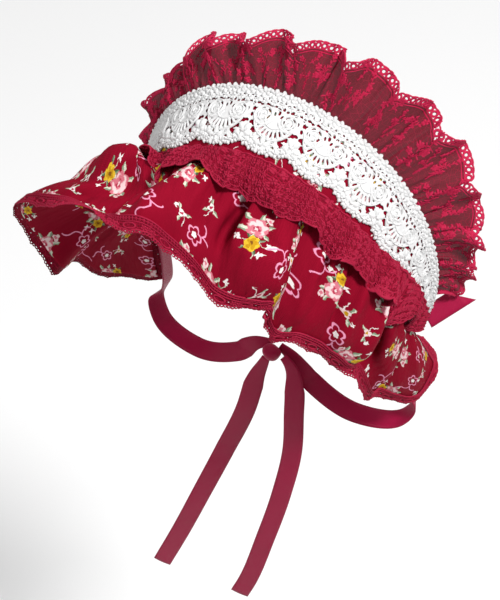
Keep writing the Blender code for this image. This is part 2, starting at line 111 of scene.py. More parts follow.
# Ribbons and knot
RIBBON_WIDTH = 0.0125
RIBBON_FOLD_LENGTH = 0.0243
RIBBON_FOLD_ANGLE = 104.0
RIBBON_FOLD_WAY = (0.494, 0.865, 0.082)
RIBBON_FOLD_BEHIND = 0.0013
RIBBON_FOLD_LIFT = 0.003
RIBBON_FOLD_SLANT = 0.007
RIBBON_PINCH = 0.40
RIBBON_SPREAD = 5.4
TAIL_LENGTH = 0.250
KNOT_HALF_WIDTH = 0.0062
KNOT_HALF_DEPTH = 0.0050
KNOT_HALF_HEIGHT = 0.0055
KNOT_TIE_SHARE = 0.45

# The band's front edge: angle from the top of the head, and share of the band's width
BAND_ROWS = table(
    "angle width_share",
    (0, 1.00),
    (20, 1.00),
    (42, 0.97),
    (64, 0.87),
    (80, 0.74),
    (95, 0.50),
    (106, BAND_TIP_SHARE),
)

# Brim folds: angle of the seam point, then where the edge lies from it along the seam, out from
# the head and forward, and how far the middle puffs out, all as shares of the brim's depth
BRIM_FOLDS = table(
    "angle along out forward puff",
    (-106, -0.84, 0.22, -0.12, 0.14),
    (-104, -0.90, 0.26, -0.12, 0.18),
    (-99, -0.95, 0.34, -0.11, 0.30),
    (-94, -0.82, 0.50, 0.05, 0.42),
    (-90, -0.75, 0.58, 0.05, 0.46),
    (-84, -0.59, 0.61, 0.40, 0.30),
    (-77, -0.60, 0.77, 0.24, 0.50),
    (-70, -0.54, 0.90, 0.14, 0.74),
    (-64, -0.50, 0.84, 0.13, 0.80),
    (-55, -0.24, 0.61, 0.33, 0.66),
    (-46, 0.02, 0.55, 0.55, 0.24),
    (-37, 0.07, 0.49, 0.65, 0.40),
    (-29, 0.08, 0.42, 0.65, 0.42),
    (-20, -0.02, 0.24, 0.71, 0.38),
    (-10, -0.03, 0.03, 0.83, 0.30),
    (-1, 0.01, -0.13, 0.96, 0.12),
    (10, 0.14, -0.13, 0.96, 0.24),
    (19, 0.22, -0.08, 0.86, 0.30),
    (26, 0.24, -0.01, 0.79, 0.22),
    (30, 0.25, -0.08, 0.86, 0.18),
    (34, 0.30, -0.12, 0.89, 0.20),
    (44, 0.32, -0.09, 0.81, 0.30),
    (56, 0.34, -0.08, 0.71, 0.22),
    (68, 0.38, -0.05, 0.63, 0.30),
    (80, 0.53, -0.03, 0.51, 0.30),
    (86, 0.89, -0.07, 0.37, 0.10),
    (90, 0.84, -0.01, 0.28, 0.02),
    (94, 0.90, 0.08, 0.16, 0.20),
    (98, 0.93, 0.19, 0.04, 0.32),
    (101, 0.83, 0.27, -0.03, 0.28),
    (104, 0.55, 0.29, -0.16, 0.16),
    (106, 0.44, 0.26, -0.18, 0.12),
)

# Ridges and valleys that run over the brim: their angle at the seam and at the edge, height as a
# share of the brim's depth, half width in degrees, and the shares of the way where they start and end
CREASE_COLUMNS = "seam_angle edge_angle height half_width start end"
CREASE_RISE = 0.15
CREASE_FADE = 0.25
CREASES = table(
    CREASE_COLUMNS,
    (-50, -64, 0.24, 11.0, 0.02, 0.47),
    (-33, -49, -0.15, 6.5, 0.10, 0.98),
    (-17, -31, 0.07, 6.5, 0.05, 1.00),
    (-6, -12, -0.04, 4.0, 0.10, 0.80),
    (5, -5, -0.07, 2.8, 0.10, 0.75),
    (12, 18, -0.05, 6.0, 0.05, 0.60),
    (12, 16, 0.06, 8.0, 0.45, 0.95),
    (36, 44, -0.05, 4.0, 0.10, 0.80),
    (58, 62, 0.05, 5.0, 0.05, 0.95),
    (70, 77, -0.15, 4.0, 0.05, 1.00),
    (84, 86, 0.06, 4.0, 0.10, 0.90),
)

# Back ruffle folds: angle, share of the ruffle's depth, lean back from straight out in degrees,
# and sway along the band as a share of the depth
BACK_FOLDS = table(
    "angle reach pitch sway",
    (-94, 0.66, 40, -0.70),
    (-87, 0.74, 14, -0.60),
    (-80, 0.70, 44, -0.55),
    (-73, 0.78, 10, -0.50),
    (-66, 0.70, 40, -0.45),
    (-59, 0.78, 8, -0.35),
    (-52, 0.64, 36, -0.25),
    (-46, 0.74, 8, -0.15),
    (-40, 0.62, 50, -0.05),
    (-34, 0.92, 14, -0.05),
    (-28, 0.72, 56, 0.00),
    (-21, 0.76, 32, 0.00),
    (-14, 0.78, 66, 0.00),
    (-7, 0.86, 40, 0.00),
    (0, 0.92, 66, 0.00),
    (7, 0.90, 36, 0.00),
    (14, 1.04, 62, 0.00),
    (21, 1.00, 34, 0.00),
    (28, 1.06, 58, 0.00),
    (35, 1.05, 34, 0.00),
    (42, 1.06, 56, 0.00),
    (49, 1.06, 30, 0.05),
    (56, 0.95, 56, 0.15),
    (63, 0.86, 30, 0.30),
    (70, 0.78, 56, 0.50),
    (76, 0.70, 28, 0.70),
    (82, 0.64, 50, 0.80),
    (88, 0.58, 24, 0.85),
    (94, 0.48, 40, 0.80),
)

# Front ruffle folds: angle, share of its reach over the brim, and share of its rise
FRONT_FOLDS = table(
    "angle reach rise",
    (-103, 0.40, 0.10),
    (-92, 0.70, 0.60),
    (-82, 0.75, 0.10),
    (-72, 0.85, 0.70),
    (-62, 0.80, 0.15),
    (-52, 0.85, 0.60),
    (-42, 0.70, 0.10),
    (-31, 0.90, 0.55),
    (-20, 0.75, 0.10),
    (-9, 0.90, 0.60),
    (0, 0.80, 0.15),
    (11, 1.00, 0.60),
    (21, 0.92, 0.10),
    (30, 0.95, 0.80),
    (38, 1.05, 0.15),
    (45, 0.95, 0.90),
    (52, 1.05, 0.20),
    (59, 1.15, 1.00),
    (66, 1.20, 0.25),
    (73, 1.25, 0.90),
    (80, 1.10, 0.15),
    (88, 0.85, 0.50),
    (96, 0.60, 0.15),
    (103, 0.40, 0.20),
)

# Ribbon runs from the band's tip to the knot, as shares of the head's half width, length and
# height, for the wearer's left. The wearer's right is its mirror image
CHIN_TIE_PAST_TIP = (-3.0, 1.0)
CHIN_TIE_RUN = table(
    "across forward down",
    (0.900, 0.228, 0.42),
    (0.890, 0.228, 0.60),
    (0.905, 0.230, 0.79),
    (1.000, 0.240, 0.97),
    (0.930, 0.280, 1.08),
    (0.610, 0.330, 1.14),
    (0.290, 0.338, 1.00),
    (0.110, 0.330, 0.825),
)

# The knot's place, as shares of the head's half length and half height
KNOT_FORWARD = 0.375
KNOT_DOWN = 0.804

# Free ribbon ends, as shares of the tail's length from where each leaves the knot. That place is
# given as shares of the knot's half sizes
TAIL_LEFT_START = (1.29, 0.0, 0.0)
TAIL_RIGHT_START = (-0.48, -0.20, -1.04)
TAIL_COLUMNS = "left forward down"
TAIL_LEFT_RUN = table(
    TAIL_COLUMNS,
    (0.000, 0.000, 0.000),
    (0.014, 0.004, 0.008),
    (0.028, 0.008, 0.030),
    (0.042, 0.024, 0.080),
    (0.052, 0.048, 0.160),
    (0.060, 0.072, 0.272),
    (0.048, 0.112, 0.448),
    (0.020, 0.156, 0.644),
    (-0.020, 0.204, 0.864),
    (-0.036, 0.216, 0.920),
)
TAIL_RIGHT_RUN = table(
    TAIL_COLUMNS,
    (0.000, 0.000, 0.000),
    (-0.005, 0.005, 0.021),
    (-0.016, 0.014, 0.061),
    (-0.036, 0.048, 0.193),
    (-0.084, 0.084, 0.377),
    (-0.132, 0.128, 0.553),
    (-0.192, 0.172, 0.769),
    (-0.244, 0.204, 0.941),
)

# Ways that the ribbons' flat sides face: the tails, the folded ends at the wearer's left, and the
# chin ties as they come under the chin and up behind the knot
TAIL_FACING = (0.25, -0.9, 0.35)
FOLD_FACING = (0.4, -0.6, 0.7)
CHIN_FACING = (0.0, 0.5, -1.0)
KNOT_FACING = (0.0, 1.2, 0.0)
TAIL_CROWN = 0.0004
RIBBON_STEPS = 90
RIBBON_WALL_SHARE = 0.6

# Waves: height, how many to a radian of the band, phase, and how far and how often the phase wanders
WAVE_COLUMNS = "height turns phase wander wander_turns"
SEAM_GATHERS = table(WAVE_COLUMNS, (0.0008, 46, 0.0, 0.0, 0), (0.00048, 71, 1.0, 0.0, 0))
BACK_GATHERS = table(WAVE_COLUMNS, (0.0012, 96, 0.0, 0.0, 0), (0.0006, 137, 1.0, 0.0, 0))
BACK_SOFT = table(WAVE_COLUMNS, (0.0016, 44, 0.0, 0.8, 7), (0.0008, 83, 2.0, 0.0, 0))
BACK_LEAN = table(WAVE_COLUMNS, (2.4, 360 / 14, -math.pi / 2, 0.6, 5))
BACK_SWAY = table(WAVE_COLUMNS, (0.8, 61, 1.0, 0.0, 0))
FRONT_GATHERS = table(WAVE_COLUMNS, (0.0006, 70, 0.0, 1.0, 9))
FRONT_SOFT = table(WAVE_COLUMNS, (1.0, 31, 0.0, 1.5, 6))


def column(rows, name):
    return np.array([getattr(row, name) for row in rows], float)


def smooth(x, xs, ys):
    """Cubic curve through the table's values, held level past its ends."""
    x = np.clip(x, xs[0], xs[-1])
    i = np.clip(np.searchsorted(xs, x) - 1, 0, len(xs) - 2)
    slopes = np.gradient(ys, xs)
    h = xs[i + 1] - xs[i]
    u = (x - xs[i]) / h
    a = (1 + 2 * u) * (1 - u) ** 2 * ys[i] + u * (1 - u) ** 2 * h * slopes[i]
    b = u * u * (3 - 2 * u) * ys[i + 1] + u * u * (u - 1) * h * slopes[i + 1]
    return a + b


def from_table(rows, name, angle):
    return smooth(angle, column(rows, "angle"), column(rows, name))


def unit(v):
    return v / np.linalg.norm(v, axis=-1, keepdims=True)


def on_head(angle, forward, lift):
    """Point over the head, angle from its top towards the wearer's left, forward of its middle."""
    turn = np.radians(angle)
    round_share = np.sqrt(1 - (forward / HEAD_HALF_LENGTH) ** 2)
    x = (HEAD_HALF_WIDTH + lift) * round_share * np.sin(turn)
    z = (HEAD_HALF_HEIGHT + lift) * round_share * np.cos(turn)
    return np.stack([x, -forward + 0 * x, z], -1)


def waves(angle, rows):
    """Sum of waves along the band, each with a phase that wanders. The angle is in degrees."""
    turn = np.radians(angle)
    height = 0.0
    for row in rows:
        phase = row.phase + row.wander * np.sin(turn * row.wander_turns)
        height = height + row.height * np.sin(turn * row.turns + phase)
    return height


def spread(first, last, columns, rows, depth=1.0):
    """Even grid: from first to last along, and from 0 to the depth across."""
    return np.meshgrid(np.linspace(first, last, columns), np.linspace(0, depth, rows), indexing="ij")


def run_along(points):
    """Distance of each point from the first, along a run of points."""
    steps = np.linalg.norm(np.diff(points, axis=0), axis=1)
    return np.concatenate([[0.0], np.cumsum(steps)])


def bow(start, middle, end, t):
    """Curve from start to end that is drawn towards a middle point."""
    return (1 - t) ** 2 * start + 2 * t * (1 - t) * middle + t * t * end


def flat_points(x, y):
    return np.stack([x, y + 0 * x], -1)


def way_at(turn):
    """Unit vector in the flat at an angle."""
    return np.stack([np.cos(turn), np.sin(turn)], -1)


def head_sizes():
    return np.array([HEAD_HALF_WIDTH, HEAD_HALF_LENGTH, HEAD_HALF_HEIGHT])


def head_axes(angle, forward):
    """Unit vectors at a point of the head: along the band, out from the head, and forward."""
    here = on_head(angle, forward, 0.0)
    along = on_head(angle + 0.5, forward, 0.0) - on_head(angle - 0.5, forward, 0.0)
    along = unit(along)
    out = here / head_sizes() ** 2
    out = out - along * (out * along).sum(-1, keepdims=True)
    out = unit(out)
    ahead = np.cross(out, along)
    return along, out, ahead * np.where(ahead[..., 1:2] > 0, -1, 1)


def band_width(angle):
    share = smooth(np.abs(angle), column(BAND_ROWS, "angle"), column(BAND_ROWS, "width_share"))
    past_tip = (share - BAND_TIP_SHARE) / (1 - BAND_TIP_SHARE)
    return BAND_TIP_WIDTH + (BAND_WIDTH - BAND_TIP_WIDTH) * past_tip


def band_back(angle):
    """The back edge runs straight over the head and turns a little forward at the tips."""
    past = (np.abs(angle) - BAND_TURN_ANGLE) / (BAND_END_ANGLE - BAND_TURN_ANGLE)
    return BAND_BACK_FORWARD + BAND_TURN_FORWARD * np.clip(past, 0, 1) ** 2


def band_front(angle):
    return band_back(angle) + band_width(angle)


def ease(x):
    x = np.clip(x, 0, 1)
    return x * x * (3 - 2 * x)


def brim_sweep(angle, share):
    """Point of the brim before its creases: share 0 is the seam and 1 the edge with its lace."""
    seam = band_front(angle)
    along, out, ahead = head_axes(angle, seam)
    start = on_head(angle, seam, CLOTH_WALL / 2) + ahead * SEAM_GAP
    to_along, to_ahead, to_out, puff = (
        from_table(BRIM_FOLDS, name, angle)[..., None] * way
        for name, way in (("along", along), ("forward", ahead), ("out", out), ("puff", out))
    )
    edge = start + BRIM_DEPTH * (to_along + to_out + to_ahead)
    half_way = PUFF_ALONG * to_along + PUFF_FORWARD * to_ahead
    return bow(start, start + BRIM_DEPTH * (half_way + puff), edge, np.asarray(share)[..., None])


def crease_height(angle, share, rows=CREASES):
    """Height of the ridges and valleys at a point of the brim, in metres."""
    height = np.zeros(np.broadcast(angle, share).shape)
    for row in rows:
        middle = row.seam_angle + (row.edge_angle - row.seam_angle) * share
        bell = np.exp(-((angle - middle) / row.half_width) ** 2)
        window = ease((share - row.start) / CREASE_RISE) * ease((row.end - share) / CREASE_FADE)
        height = height + BRIM_DEPTH * row.height * bell * window
    return height


def out_of(surface, angle, share, angle_step=0.2, share_step=0.01):
    """Unit normal of a surface, towards its upper side."""
    da = surface(angle + angle_step, share) - surface(angle - angle_step, share)
    dt = surface(angle, share + share_step) - surface(angle, share - share_step)
    return unit(np.cross(dt, da))


def brim_point(angle, share):
    """Point of the brim's middle surface, with its creases."""
    height = crease_height(angle, share)[..., None]
    return brim_sweep(angle, share) + out_of(brim_sweep, angle, share) * height


def over_brim(angle, share, lift):
    """Point over the brim's middle surface."""
    return brim_point(angle, share) + out_of(brim_point, angle, share) * lift[..., None]


def grid_out(points):
    """Unit normals of a grid of points, one per point."""
    d_column = np.gradient(points, axis=0)
    d_row = np.gradient(points, axis=1)
    return unit(np.cross(d_row, d_column))


def mount_shift():
    """The head's middle, as seen from the band's underside at its middle."""
    middle = BAND_BACK_FORWARD + BAND_WIDTH / 2
    return -on_head(np.array(0.0), middle, 0.0)


def back_ruffle_point(angle, share):
    """Point of the back ruffle: share 0 is at the band and 1 its scalloped edge."""
    forward = band_back(angle) - CLEARANCE - LACE_WALL * LACE_SEAT_SHARE
    along, out, ahead = head_axes(angle, forward)
    start = on_head(angle, forward, LACE_WALL)
    pitch = np.radians(from_table(BACK_FOLDS, "pitch", angle))[..., None]
    mean = math.radians(BACK_RUFFLE_PITCH)
    reach = BACK_RUFFLE_DEPTH * from_table(BACK_FOLDS, "reach", angle)[..., None]
    sway = from_table(BACK_FOLDS, "sway", angle)[..., None]
    t = np.asarray(share)[..., None]
    turn = mean + (pitch - mean) * t**BACK_RUFFLE_CURL
    push = out * np.sin(turn) - ahead * np.cos(turn)
    return start + reach * t * (push + sway * t * along)


def through(points, count):
    """Smooth run through a few points, spaced by their distances."""
    points = np.array(points, float)
    knots = run_along(points)
    at = np.linspace(0, knots[-1], count)
    return np.stack([smooth(at, knots, points[:, k]) for k in range(3)], -1)


def pinched(count, from_start, to_end):
    """Ribbon widths along a run, drawn in where the ribbon meets the knot."""
    share = np.linspace(0, 1, count)
    width = np.ones(count)
    if from_start:
        width = np.minimum(width, RIBBON_PINCH + RIBBON_SPREAD * share)
    if to_end:
        width = np.minimum(width, RIBBON_PINCH + RIBBON_SPREAD * (1 - share))
    return RIBBON_WIDTH * width


def knot_sizes():
    return np.array([KNOT_HALF_WIDTH, KNOT_HALF_DEPTH, KNOT_HALF_HEIGHT])


def knot_middle():
    return np.array([0.0, -KNOT_FORWARD, -KNOT_DOWN]) * head_sizes()


def chin_tie_run(side, count):
    """From under the band's tip, down the cheek and under the chin to the back of the knot."""
    under = -(CLEARANCE + FACET_SLACK + RIBBON_WALL / 2)
    end = np.array(BAND_END_ANGLE)
    tip = band_back(end) + band_width(end) / 2
    rows = [on_head(side * (end + past), tip, under) for past in CHIN_TIE_PAST_TIP]
    for point in CHIN_TIE_RUN:
        shares = np.array([side * point.across, -point.forward, -point.down])
        rows.append(shares * head_sizes())
    behind = KNOT_HALF_DEPTH + CLEARANCE + 2 * FACET_SLACK + RIBBON_WALL / 2
    rows.append(knot_middle() + np.array([side * KNOT_HALF_WIDTH * KNOT_TIE_SHARE, behind, 0.0]))
    return through(rows, count)


# Visual cloths
FINE_STEPS = 3000
Grid = namedtuple("Grid", "points out length depth")


def flat_grid(surface, first, last, depth, columns, rows, marks=None):
    """Samples a surface at even steps of the cloth's own length, measured along its free edge.

    Marks are angles that divide the flat cloth into equal lengths.
    """
    fine = np.linspace(first, last, FINE_STEPS)
    run = run_along(surface(fine, np.ones_like(fine)))
    total = run[-1]
    if marks is not None:
        run = np.interp(run, np.interp(marks, fine, run), np.linspace(0, total, len(marks)))
    even = np.interp(np.linspace(0, total, columns), run, fine)
    angle, share = np.meshgrid(even, np.linspace(0, 1, rows), indexing="ij")
    points = surface(angle, share) + mount_shift()
    return Grid(points, grid_out(points), total, depth)


def mean_length(grid):
    """Length of a cloth along its rows, on average."""
    return float(np.linalg.norm(np.diff(grid.points, axis=0), axis=2).sum(0).mean())


def lay(grid, flat, lift):
    """Places flat cloth points (along, across) on the grid, lifted off it."""
    columns, rows = grid.points.shape[:2]
    a = flat[:, 0] / grid.length * (columns - 1)
    b = flat[:, 1] / grid.depth * (rows - 1)
    i = np.clip(np.floor(a).astype(int), 0, columns - 2)
    j = np.clip(np.floor(b).astype(int), 0, rows - 2)
    fa = (a - i)[:, None]
    fb = (b - j)[:, None]

    def blend(values):
        low = values[i, j] * (1 - fa) + values[i + 1, j] * fa
        high = values[i, j + 1] * (1 - fa) + values[i + 1, j + 1] * fa
        return low * (1 - fb) + high * fb

    return blend(grid.points) + unit(blend(grid.out)) * lift[:, None]


def squares_of(index):
    """Quads between the neighbours in a grid of point numbers."""
    corners = [index[:-1, :-1], index[:-1, 1:], index[1:, 1:], index[1:, :-1]]
    return np.stack(corners, -1).reshape(-1, 4)


def in_scene(name, data):
    obj = bpy.data.objects.new(name, data)
    bpy.context.scene.collection.objects.link(obj)
    return obj


def add_wall(obj, wall):
    if wall:
        thicken = obj.modifiers.new("wall", "SOLIDIFY")
        thicken.thickness = wall
        thicken.offset = 0


def new_mesh(name, points, faces, uvs, material):
    """Smooth mesh object with its flat cloth coordinates, in metres, as its UV map."""
    mesh = bpy.data.meshes.new(name)
    mesh.from_pydata(points.tolist(), [], faces)
    mesh.polygons.foreach_set("use_smooth", np.ones(len(mesh.polygons), bool))
    layer = mesh.uv_layers.new(name="flat")
    corners = np.empty(len(mesh.loops), np.int32)
    mesh.loops.foreach_get("vertex_index", corners)
    layer.data.foreach_set("uv", uvs[corners].astype(np.float32).ravel())
    mesh.materials.append(material)
    mesh.update()
    return in_scene(name, mesh)


def cloth(name, grid, wall, material):
    """Sheet over a whole grid, with a wall."""
    columns, rows = grid.points.shape[:2]
    index = np.arange(columns * rows).reshape(columns, rows)
    uvs = flat_points(*spread(0, grid.length, columns, rows, grid.depth)).reshape(-1, 2)
    points = grid.points.reshape(-1, 3)
    obj = new_mesh(name, points, squares_of(index).tolist(), uvs, material)
    add_wall(obj, wall)
    return obj


# Thread work: cords and petals collected in flat cloth coordinates, then laid on a grid
PETAL_SHARES = np.array([0.0, 0.22, 0.55, 0.82, 1.0])
PETAL_PLUMP = np.array([0.35, 0.8, 1.0, 0.75, 0.12])
BOSS_ALONG = np.array([-0.24, -0.12, 0.12, 0.24])
BOSS_WIDTHS = np.array([0.1, 0.42, 0.42, 0.1])
DOME = np.array([(-0.5, 0.0), (-0.3, 0.8), (0.0, 1.0), (0.3, 0.8), (0.5, 0.0)])
TUBE = np.array([(-0.5, 0.0), (-0.25, 0.9), (0.25, 0.9), (0.5, 0.0), (0.0, -0.9), (-0.5, 0.0)])


class Threads:
    """Cords, petals and flowers of thread, all with the same cross section and base height."""

    def __init__(self, section, base=0.0):
        self.section = section
        self.base = base
        self.flat = []
        self.lift = []
        self.quads = []
        self.count = 0

    def add(self, flat, lift, quads):
        self.flat.append(flat)
        self.lift.append(lift)
        self.quads.append(quads + self.count)
        self.count += len(flat)

    def cord(self, path, width, height, raised=0.0, closed=False):
        """Cord along a flat path. Its width and height may vary along it."""
        path = np.asarray(path, float)
        n = len(path)
        if closed:
            way = np.roll(path, -1, axis=0) - np.roll(path, 1, axis=0)
        else:
            way = np.gradient(path, axis=0)
        way = way / np.maximum(np.linalg.norm(way, axis=1, keepdims=True), 1e-9)
        side = flat_points(-way[:, 1], way[:, 0])
        width = np.broadcast_to(width, n)
        height = np.broadcast_to(height, n)
        k = len(self.section)
        flat = path[:, None] + side[:, None] * (self.section[:, 0] * width[:, None])[..., None]
        lift = self.base + raised + self.section[:, 1] * height[:, None]
        index = np.arange(n * k).reshape(n, k)
        if closed:
            index = np.concatenate([index, index[:1]])
        self.add(flat.reshape(-1, 2), lift.ravel(), squares_of(index))

    def ring(self, centre, radius, width, height, count=12):
        turn = np.linspace(0, 2 * math.pi, count, endpoint=False)
        self.cord(np.array(centre) + np.array(radius) * way_at(turn), width, height, closed=True)

    def petal(self, centre, angle, start, length, width, height, raised=0.0):
        """Plump petal or leaf from a point, out along an angle."""
        path = np.array(centre) + way_at(angle) * (start + length * PETAL_SHARES)[:, None]
        self.cord(path, width * PETAL_PLUMP, height * (0.4 + 0.6 * PETAL_PLUMP), raised)

    def flower(self, centre, radius, petals, height, turn=0.0, raised=0.0):
        """Flower of plump petals round a small boss."""
        width = 1.15 * math.pi * radius / petals
        for k in range(petals):
            angle = turn + 2 * math.pi * k / petals
            self.petal(centre, angle, radius * 0.18, radius * 0.82, width, height, raised)
        path = np.array(centre) + np.outer(BOSS_ALONG, (1, 0)) * radius
        self.cord(path, radius * BOSS_WIDTHS, height * 1.25, raised)

    def add_copies(self, other, pitch, count):
        """Adds another's threads count times, side by side."""
        flat = np.concatenate(other.flat)
        lift = np.concatenate(other.lift)
        quads = np.concatenate(other.quads)
        for k in range(count):
            self.add(flat + np.array([k * pitch, 0.0]), lift, quads)

    def made(self, name, grid, material):
        flat = np.concatenate(self.flat)
        points = lay(grid, flat, np.concatenate(self.lift))
        return new_mesh(name, points, np.concatenate(self.quads).tolist(), flat, material)


def plate(inside, width, depth, step):
    """Outline-following flat mesh of where inside(x, y) is over 0, for one repeat of a pattern."""
    columns = max(2, round(width / step))
    near, far = depth
    rows = max(2, round((far - near) / step))
    xs = np.linspace(0, width, columns + 1)
    ys = np.linspace(near, far, rows + 1)
    value = inside(*np.meshgrid(xs, ys, indexing="ij"))
    value = np.where(np.abs(value) < 1e-7, 1e-7, value)
    points = []
    place = {}
    faces = []

    def corner(i, j):
        if (i, j) not in place:
            place[(i, j)] = len(points)
            points.append((xs[i], ys[j]))
        return place[(i, j)]

    def crossing(a, b):
        key = (min(a, b), max(a, b))
        if key not in place:
            (i, j), (k, l) = key
            t = value[i, j] / (value[i, j] - value[k, l])
            place[key] = len(points)
            points.append((xs[i] + (xs[k] - xs[i]) * t, ys[j] + (ys[l] - ys[j]) * t))
        return place[key]

    for i in range(columns):
        for j in range(rows):
            around = [(i, j), (i + 1, j), (i + 1, j + 1), (i, j + 1)]
            face = []
            for a, b in zip(around, around[1:] + around[:1]):
                if value[a] > 0:
                    face.append(corner(*a))
                if (value[a] > 0) != (value[b] > 0):
                    face.append(crossing(a, b))
            if len(face) > 2:
                faces.append(face[::-1])
    return np.array(points), faces


def plates(name, piece, width, repeats, grid, lift, wall, material):
    """Lays the repeats of a plate side by side on a grid."""
    flat, faces = piece
    all_flat = np.concatenate([flat + np.array([k * width, 0.0]) for k in range(repeats)])
    all_faces = [[v + k * len(flat) for v in face] for k in range(repeats) for face in faces]
    points = lay(grid, all_flat, np.full(len(all_flat), lift))
    obj = new_mesh(name, points, all_faces, all_flat, material)
    weld = obj.modifiers.new("joined", "WELD")
    weld.merge_threshold = WELD_DISTANCE
    add_wall(obj, wall)
    return obj


# Sizes of the visible cloth and lace, in metres, and shares of them
GUIPURE_REPEAT = 0.029
GUIPURE_REPEATS = 11
GUIPURE_DEPTH = 0.0332
GUIPURE_DIP = 0.18
GUIPURE_LIFT = 0.0004
GUIPURE_WALL = 0.0005
GUIPURE_STEP = 0.00055
GUIPURE_BASE = 0.0002
RAISED = 0.0001
FRILL_DIP = 0.0085
FRILL_BORDER = 0.0042
FRILL_LIFT = 0.0042
FRILL_OVER = 0.0075
FRONT_FRILL_REPEAT = 0.0090
FRONT_FRILL_DIP = 0.0018
EDGE_REPEAT = 0.0215
EDGE_LACE_OVER = 0.0024
EDGE_LACE_LIFT = 0.0009
EDGE_STEPS = 2400
EDGE_SMOOTHING = 0.004
WELD_DISTANCE = 0.00002
BRIM_WALL_SHARE = 0.7


def seat_on(node, slot, *pieces):
    """The pieces stand for a node of the solids, whose mesh is hidden. The slot is not used."""
    for piece in pieces:
        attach(piece, "root")
        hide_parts(node)


# Printed cotton
def make_band(material):
    angle, share = spread(-BAND_END_ANGLE, BAND_END_ANGLE, 260, 18)
    forward = band_back(angle) + band_width(angle) * share
    points = on_head(angle, forward, CLOTH_WALL / 2) + mount_shift()
    length = float(run_along(points[:, 0])[-1])
    obj = cloth("band_cloth", Grid(points, grid_out(points), length, BAND_WIDTH), CLOTH_WALL, material)
    seat_on("band", "printed_cotton", obj)


# Sharper wrinkles of the brim's cloth, in the same columns as the ridges and valleys
WRINKLES = table(
    CREASE_COLUMNS,
    (-76, -84, 0.043, 4.0, 0.10, 0.95),
    (-66, -72, -0.041, 3.0, 0.20, 0.95),
    (-44, -56, -0.065, 2.2, 0.05, 0.90),
    (-30, -40, 0.038, 3.0, 0.20, 0.95),
    (-24, -38, -0.065, 1.7, 0.05, 0.85),
    (-12, -20, 0.035, 3.0, 0.10, 0.90),
    (4, -5, -0.085, 1.4, 0.02, 0.70),
    (8, 2, 0.043, 2.2, 0.06, 0.70),
    (17, 24, 0.041, 3.4, 0.30, 0.98),
    (24, 30, -0.049, 1.8, 0.08, 0.85),
    (34, 40, 0.038, 2.4, 0.10, 0.90),
    (47, 55, -0.070, 1.7, 0.05, 0.85),
    (53, 61, 0.043, 2.2, 0.10, 0.95),
    (66, 71, 0.075, 2.8, 0.08, 0.98),
    (73, 80, -0.230, 2.6, 0.02, 1.02),
    (80, 83, -0.052, 1.8, 0.10, 0.98),
    (91, 93, 0.041, 2.4, 0.10, 0.95),
)


# Pleat of the brim's hem: its angle, half width and overlap in degrees, the share of the way where it
# opens, how far its lower layer drops as a share of the brim's depth, the gap between layers, and how
# many half widths on it closes
PLEATS = table(
    "angle half_width overlap opens drop gap closes",
    (24.0, 10.0, 9.0, 0.76, 0.085, 0.0035, 2.2),
)


def pleated(angle, share):
    """Angle, share and height of the brim's surface once its hem is pleated."""
    pleat = PLEATS[0]
    strength = ease((share - pleat.opens) / (1 - pleat.opens))
    x = np.clip((angle - pleat.angle) / pleat.half_width, -1, 1)
    closing = ease((pleat.angle + pleat.closes * pleat.half_width - angle) / pleat.half_width)
    under = ease((x + 0.4) / 0.8) * closing
    moved = angle + strength * pleat.overlap * np.sin(math.pi * x)
    return moved, share * (1 + pleat.drop * under * strength), -pleat.gap * under * strength


def brim_surface(angle, share):
    """The brim with its wrinkles, the fine gathers of its seam and the pleat of its hem."""
    angle, share, height = pleated(np.asarray(angle, float), np.asarray(share, float))
    near_seam = np.clip(1.15 - 1.4 * share, 0, 1) * np.clip(share * 9, 0, 1)
    height = height + waves(angle, SEAM_GATHERS) * near_seam
    height = height + crease_height(angle, share, WRINKLES)
    ahead = head_axes(angle, band_front(angle))[2]
    to_band = ahead * ((SEAM_GAP - CLEARANCE) * np.clip(1 - 7 * share, 0, 1))[..., None]
    return over_brim(angle, share, height) - to_band


def brim_cloth_point(angle, share):
    """The brim's cloth, which ends where its lace starts."""
    return brim_surface(angle, np.asarray(share) * CLOTH_SHARE)


def make_brim(material):
    depth = BRIM_DEPTH - EDGE_LACE_WIDTH
    grid = flat_grid(brim_cloth_point, -BAND_END_ANGLE, BAND_END_ANGLE, depth, 640, 44)
    obj = cloth("brim_cloth", grid, CLOTH_WALL * BRIM_WALL_SHARE, material)
    seat_on("brim", "printed_cotton", obj)
    return obj, grid


# White guipure
def guipure_rim(x):
    from_bottom = np.abs(2 * (np.asarray(x) / GUIPURE_REPEAT % 1) - 1)
    return GUIPURE_DEPTH * (1 - GUIPURE_DIP * (1 - np.sqrt(1 - 0.98 * from_bottom**2)))


def guipure_grid():
    angle, share = spread(-STRIP_END_ANGLE, STRIP_END_ANGLE, 420, 16)
    forward = band_back(angle) + STRIP_INSET + band_width(angle) * STRIP_WIDTH_SHARE * share
    points = on_head(angle, forward, CLOTH_WALL + CLEARANCE + FACET_SLACK) + mount_shift()
    return Grid(points, grid_out(points), GUIPURE_REPEAT * GUIPURE_REPEATS, GUIPURE_DEPTH)


# Places in one repeat of the guipure, from its back corner, with the spirals' radius and side
FAN = (0.0145, 0.0142)
SPIRALS = (((0.0074, 0.0136), 0.0060, 1), ((0.0217, 0.0140), 0.0052, -1))
JUNCTION = (0.0, 0.0246)
RIM_FLOWER = 0.0023
RIM_FLOWER_SHARES = np.array([0.035, 0.12, 0.24, 0.37, 0.50, 0.63, 0.76, 0.88, 0.965])
SPIRAL_TURNS = 2.1
FAN_STEP = 15.6
BACK_START = 0.0024
BACK_PITCH = 0.00483
BACK_FLOWERS = 6
NET_PITCH = 0.00242
# Large flowers: middle, radius, height and turn
LARGE_FLOWERS = (
    (JUNCTION, 0.0052, 0.0017, 0.3),
    ((0.0128, 0.0290), 0.0046, 0.0015, 0.9),
    ((0.0062, 0.0268), 0.0034, 0.0013, 0.2),
)
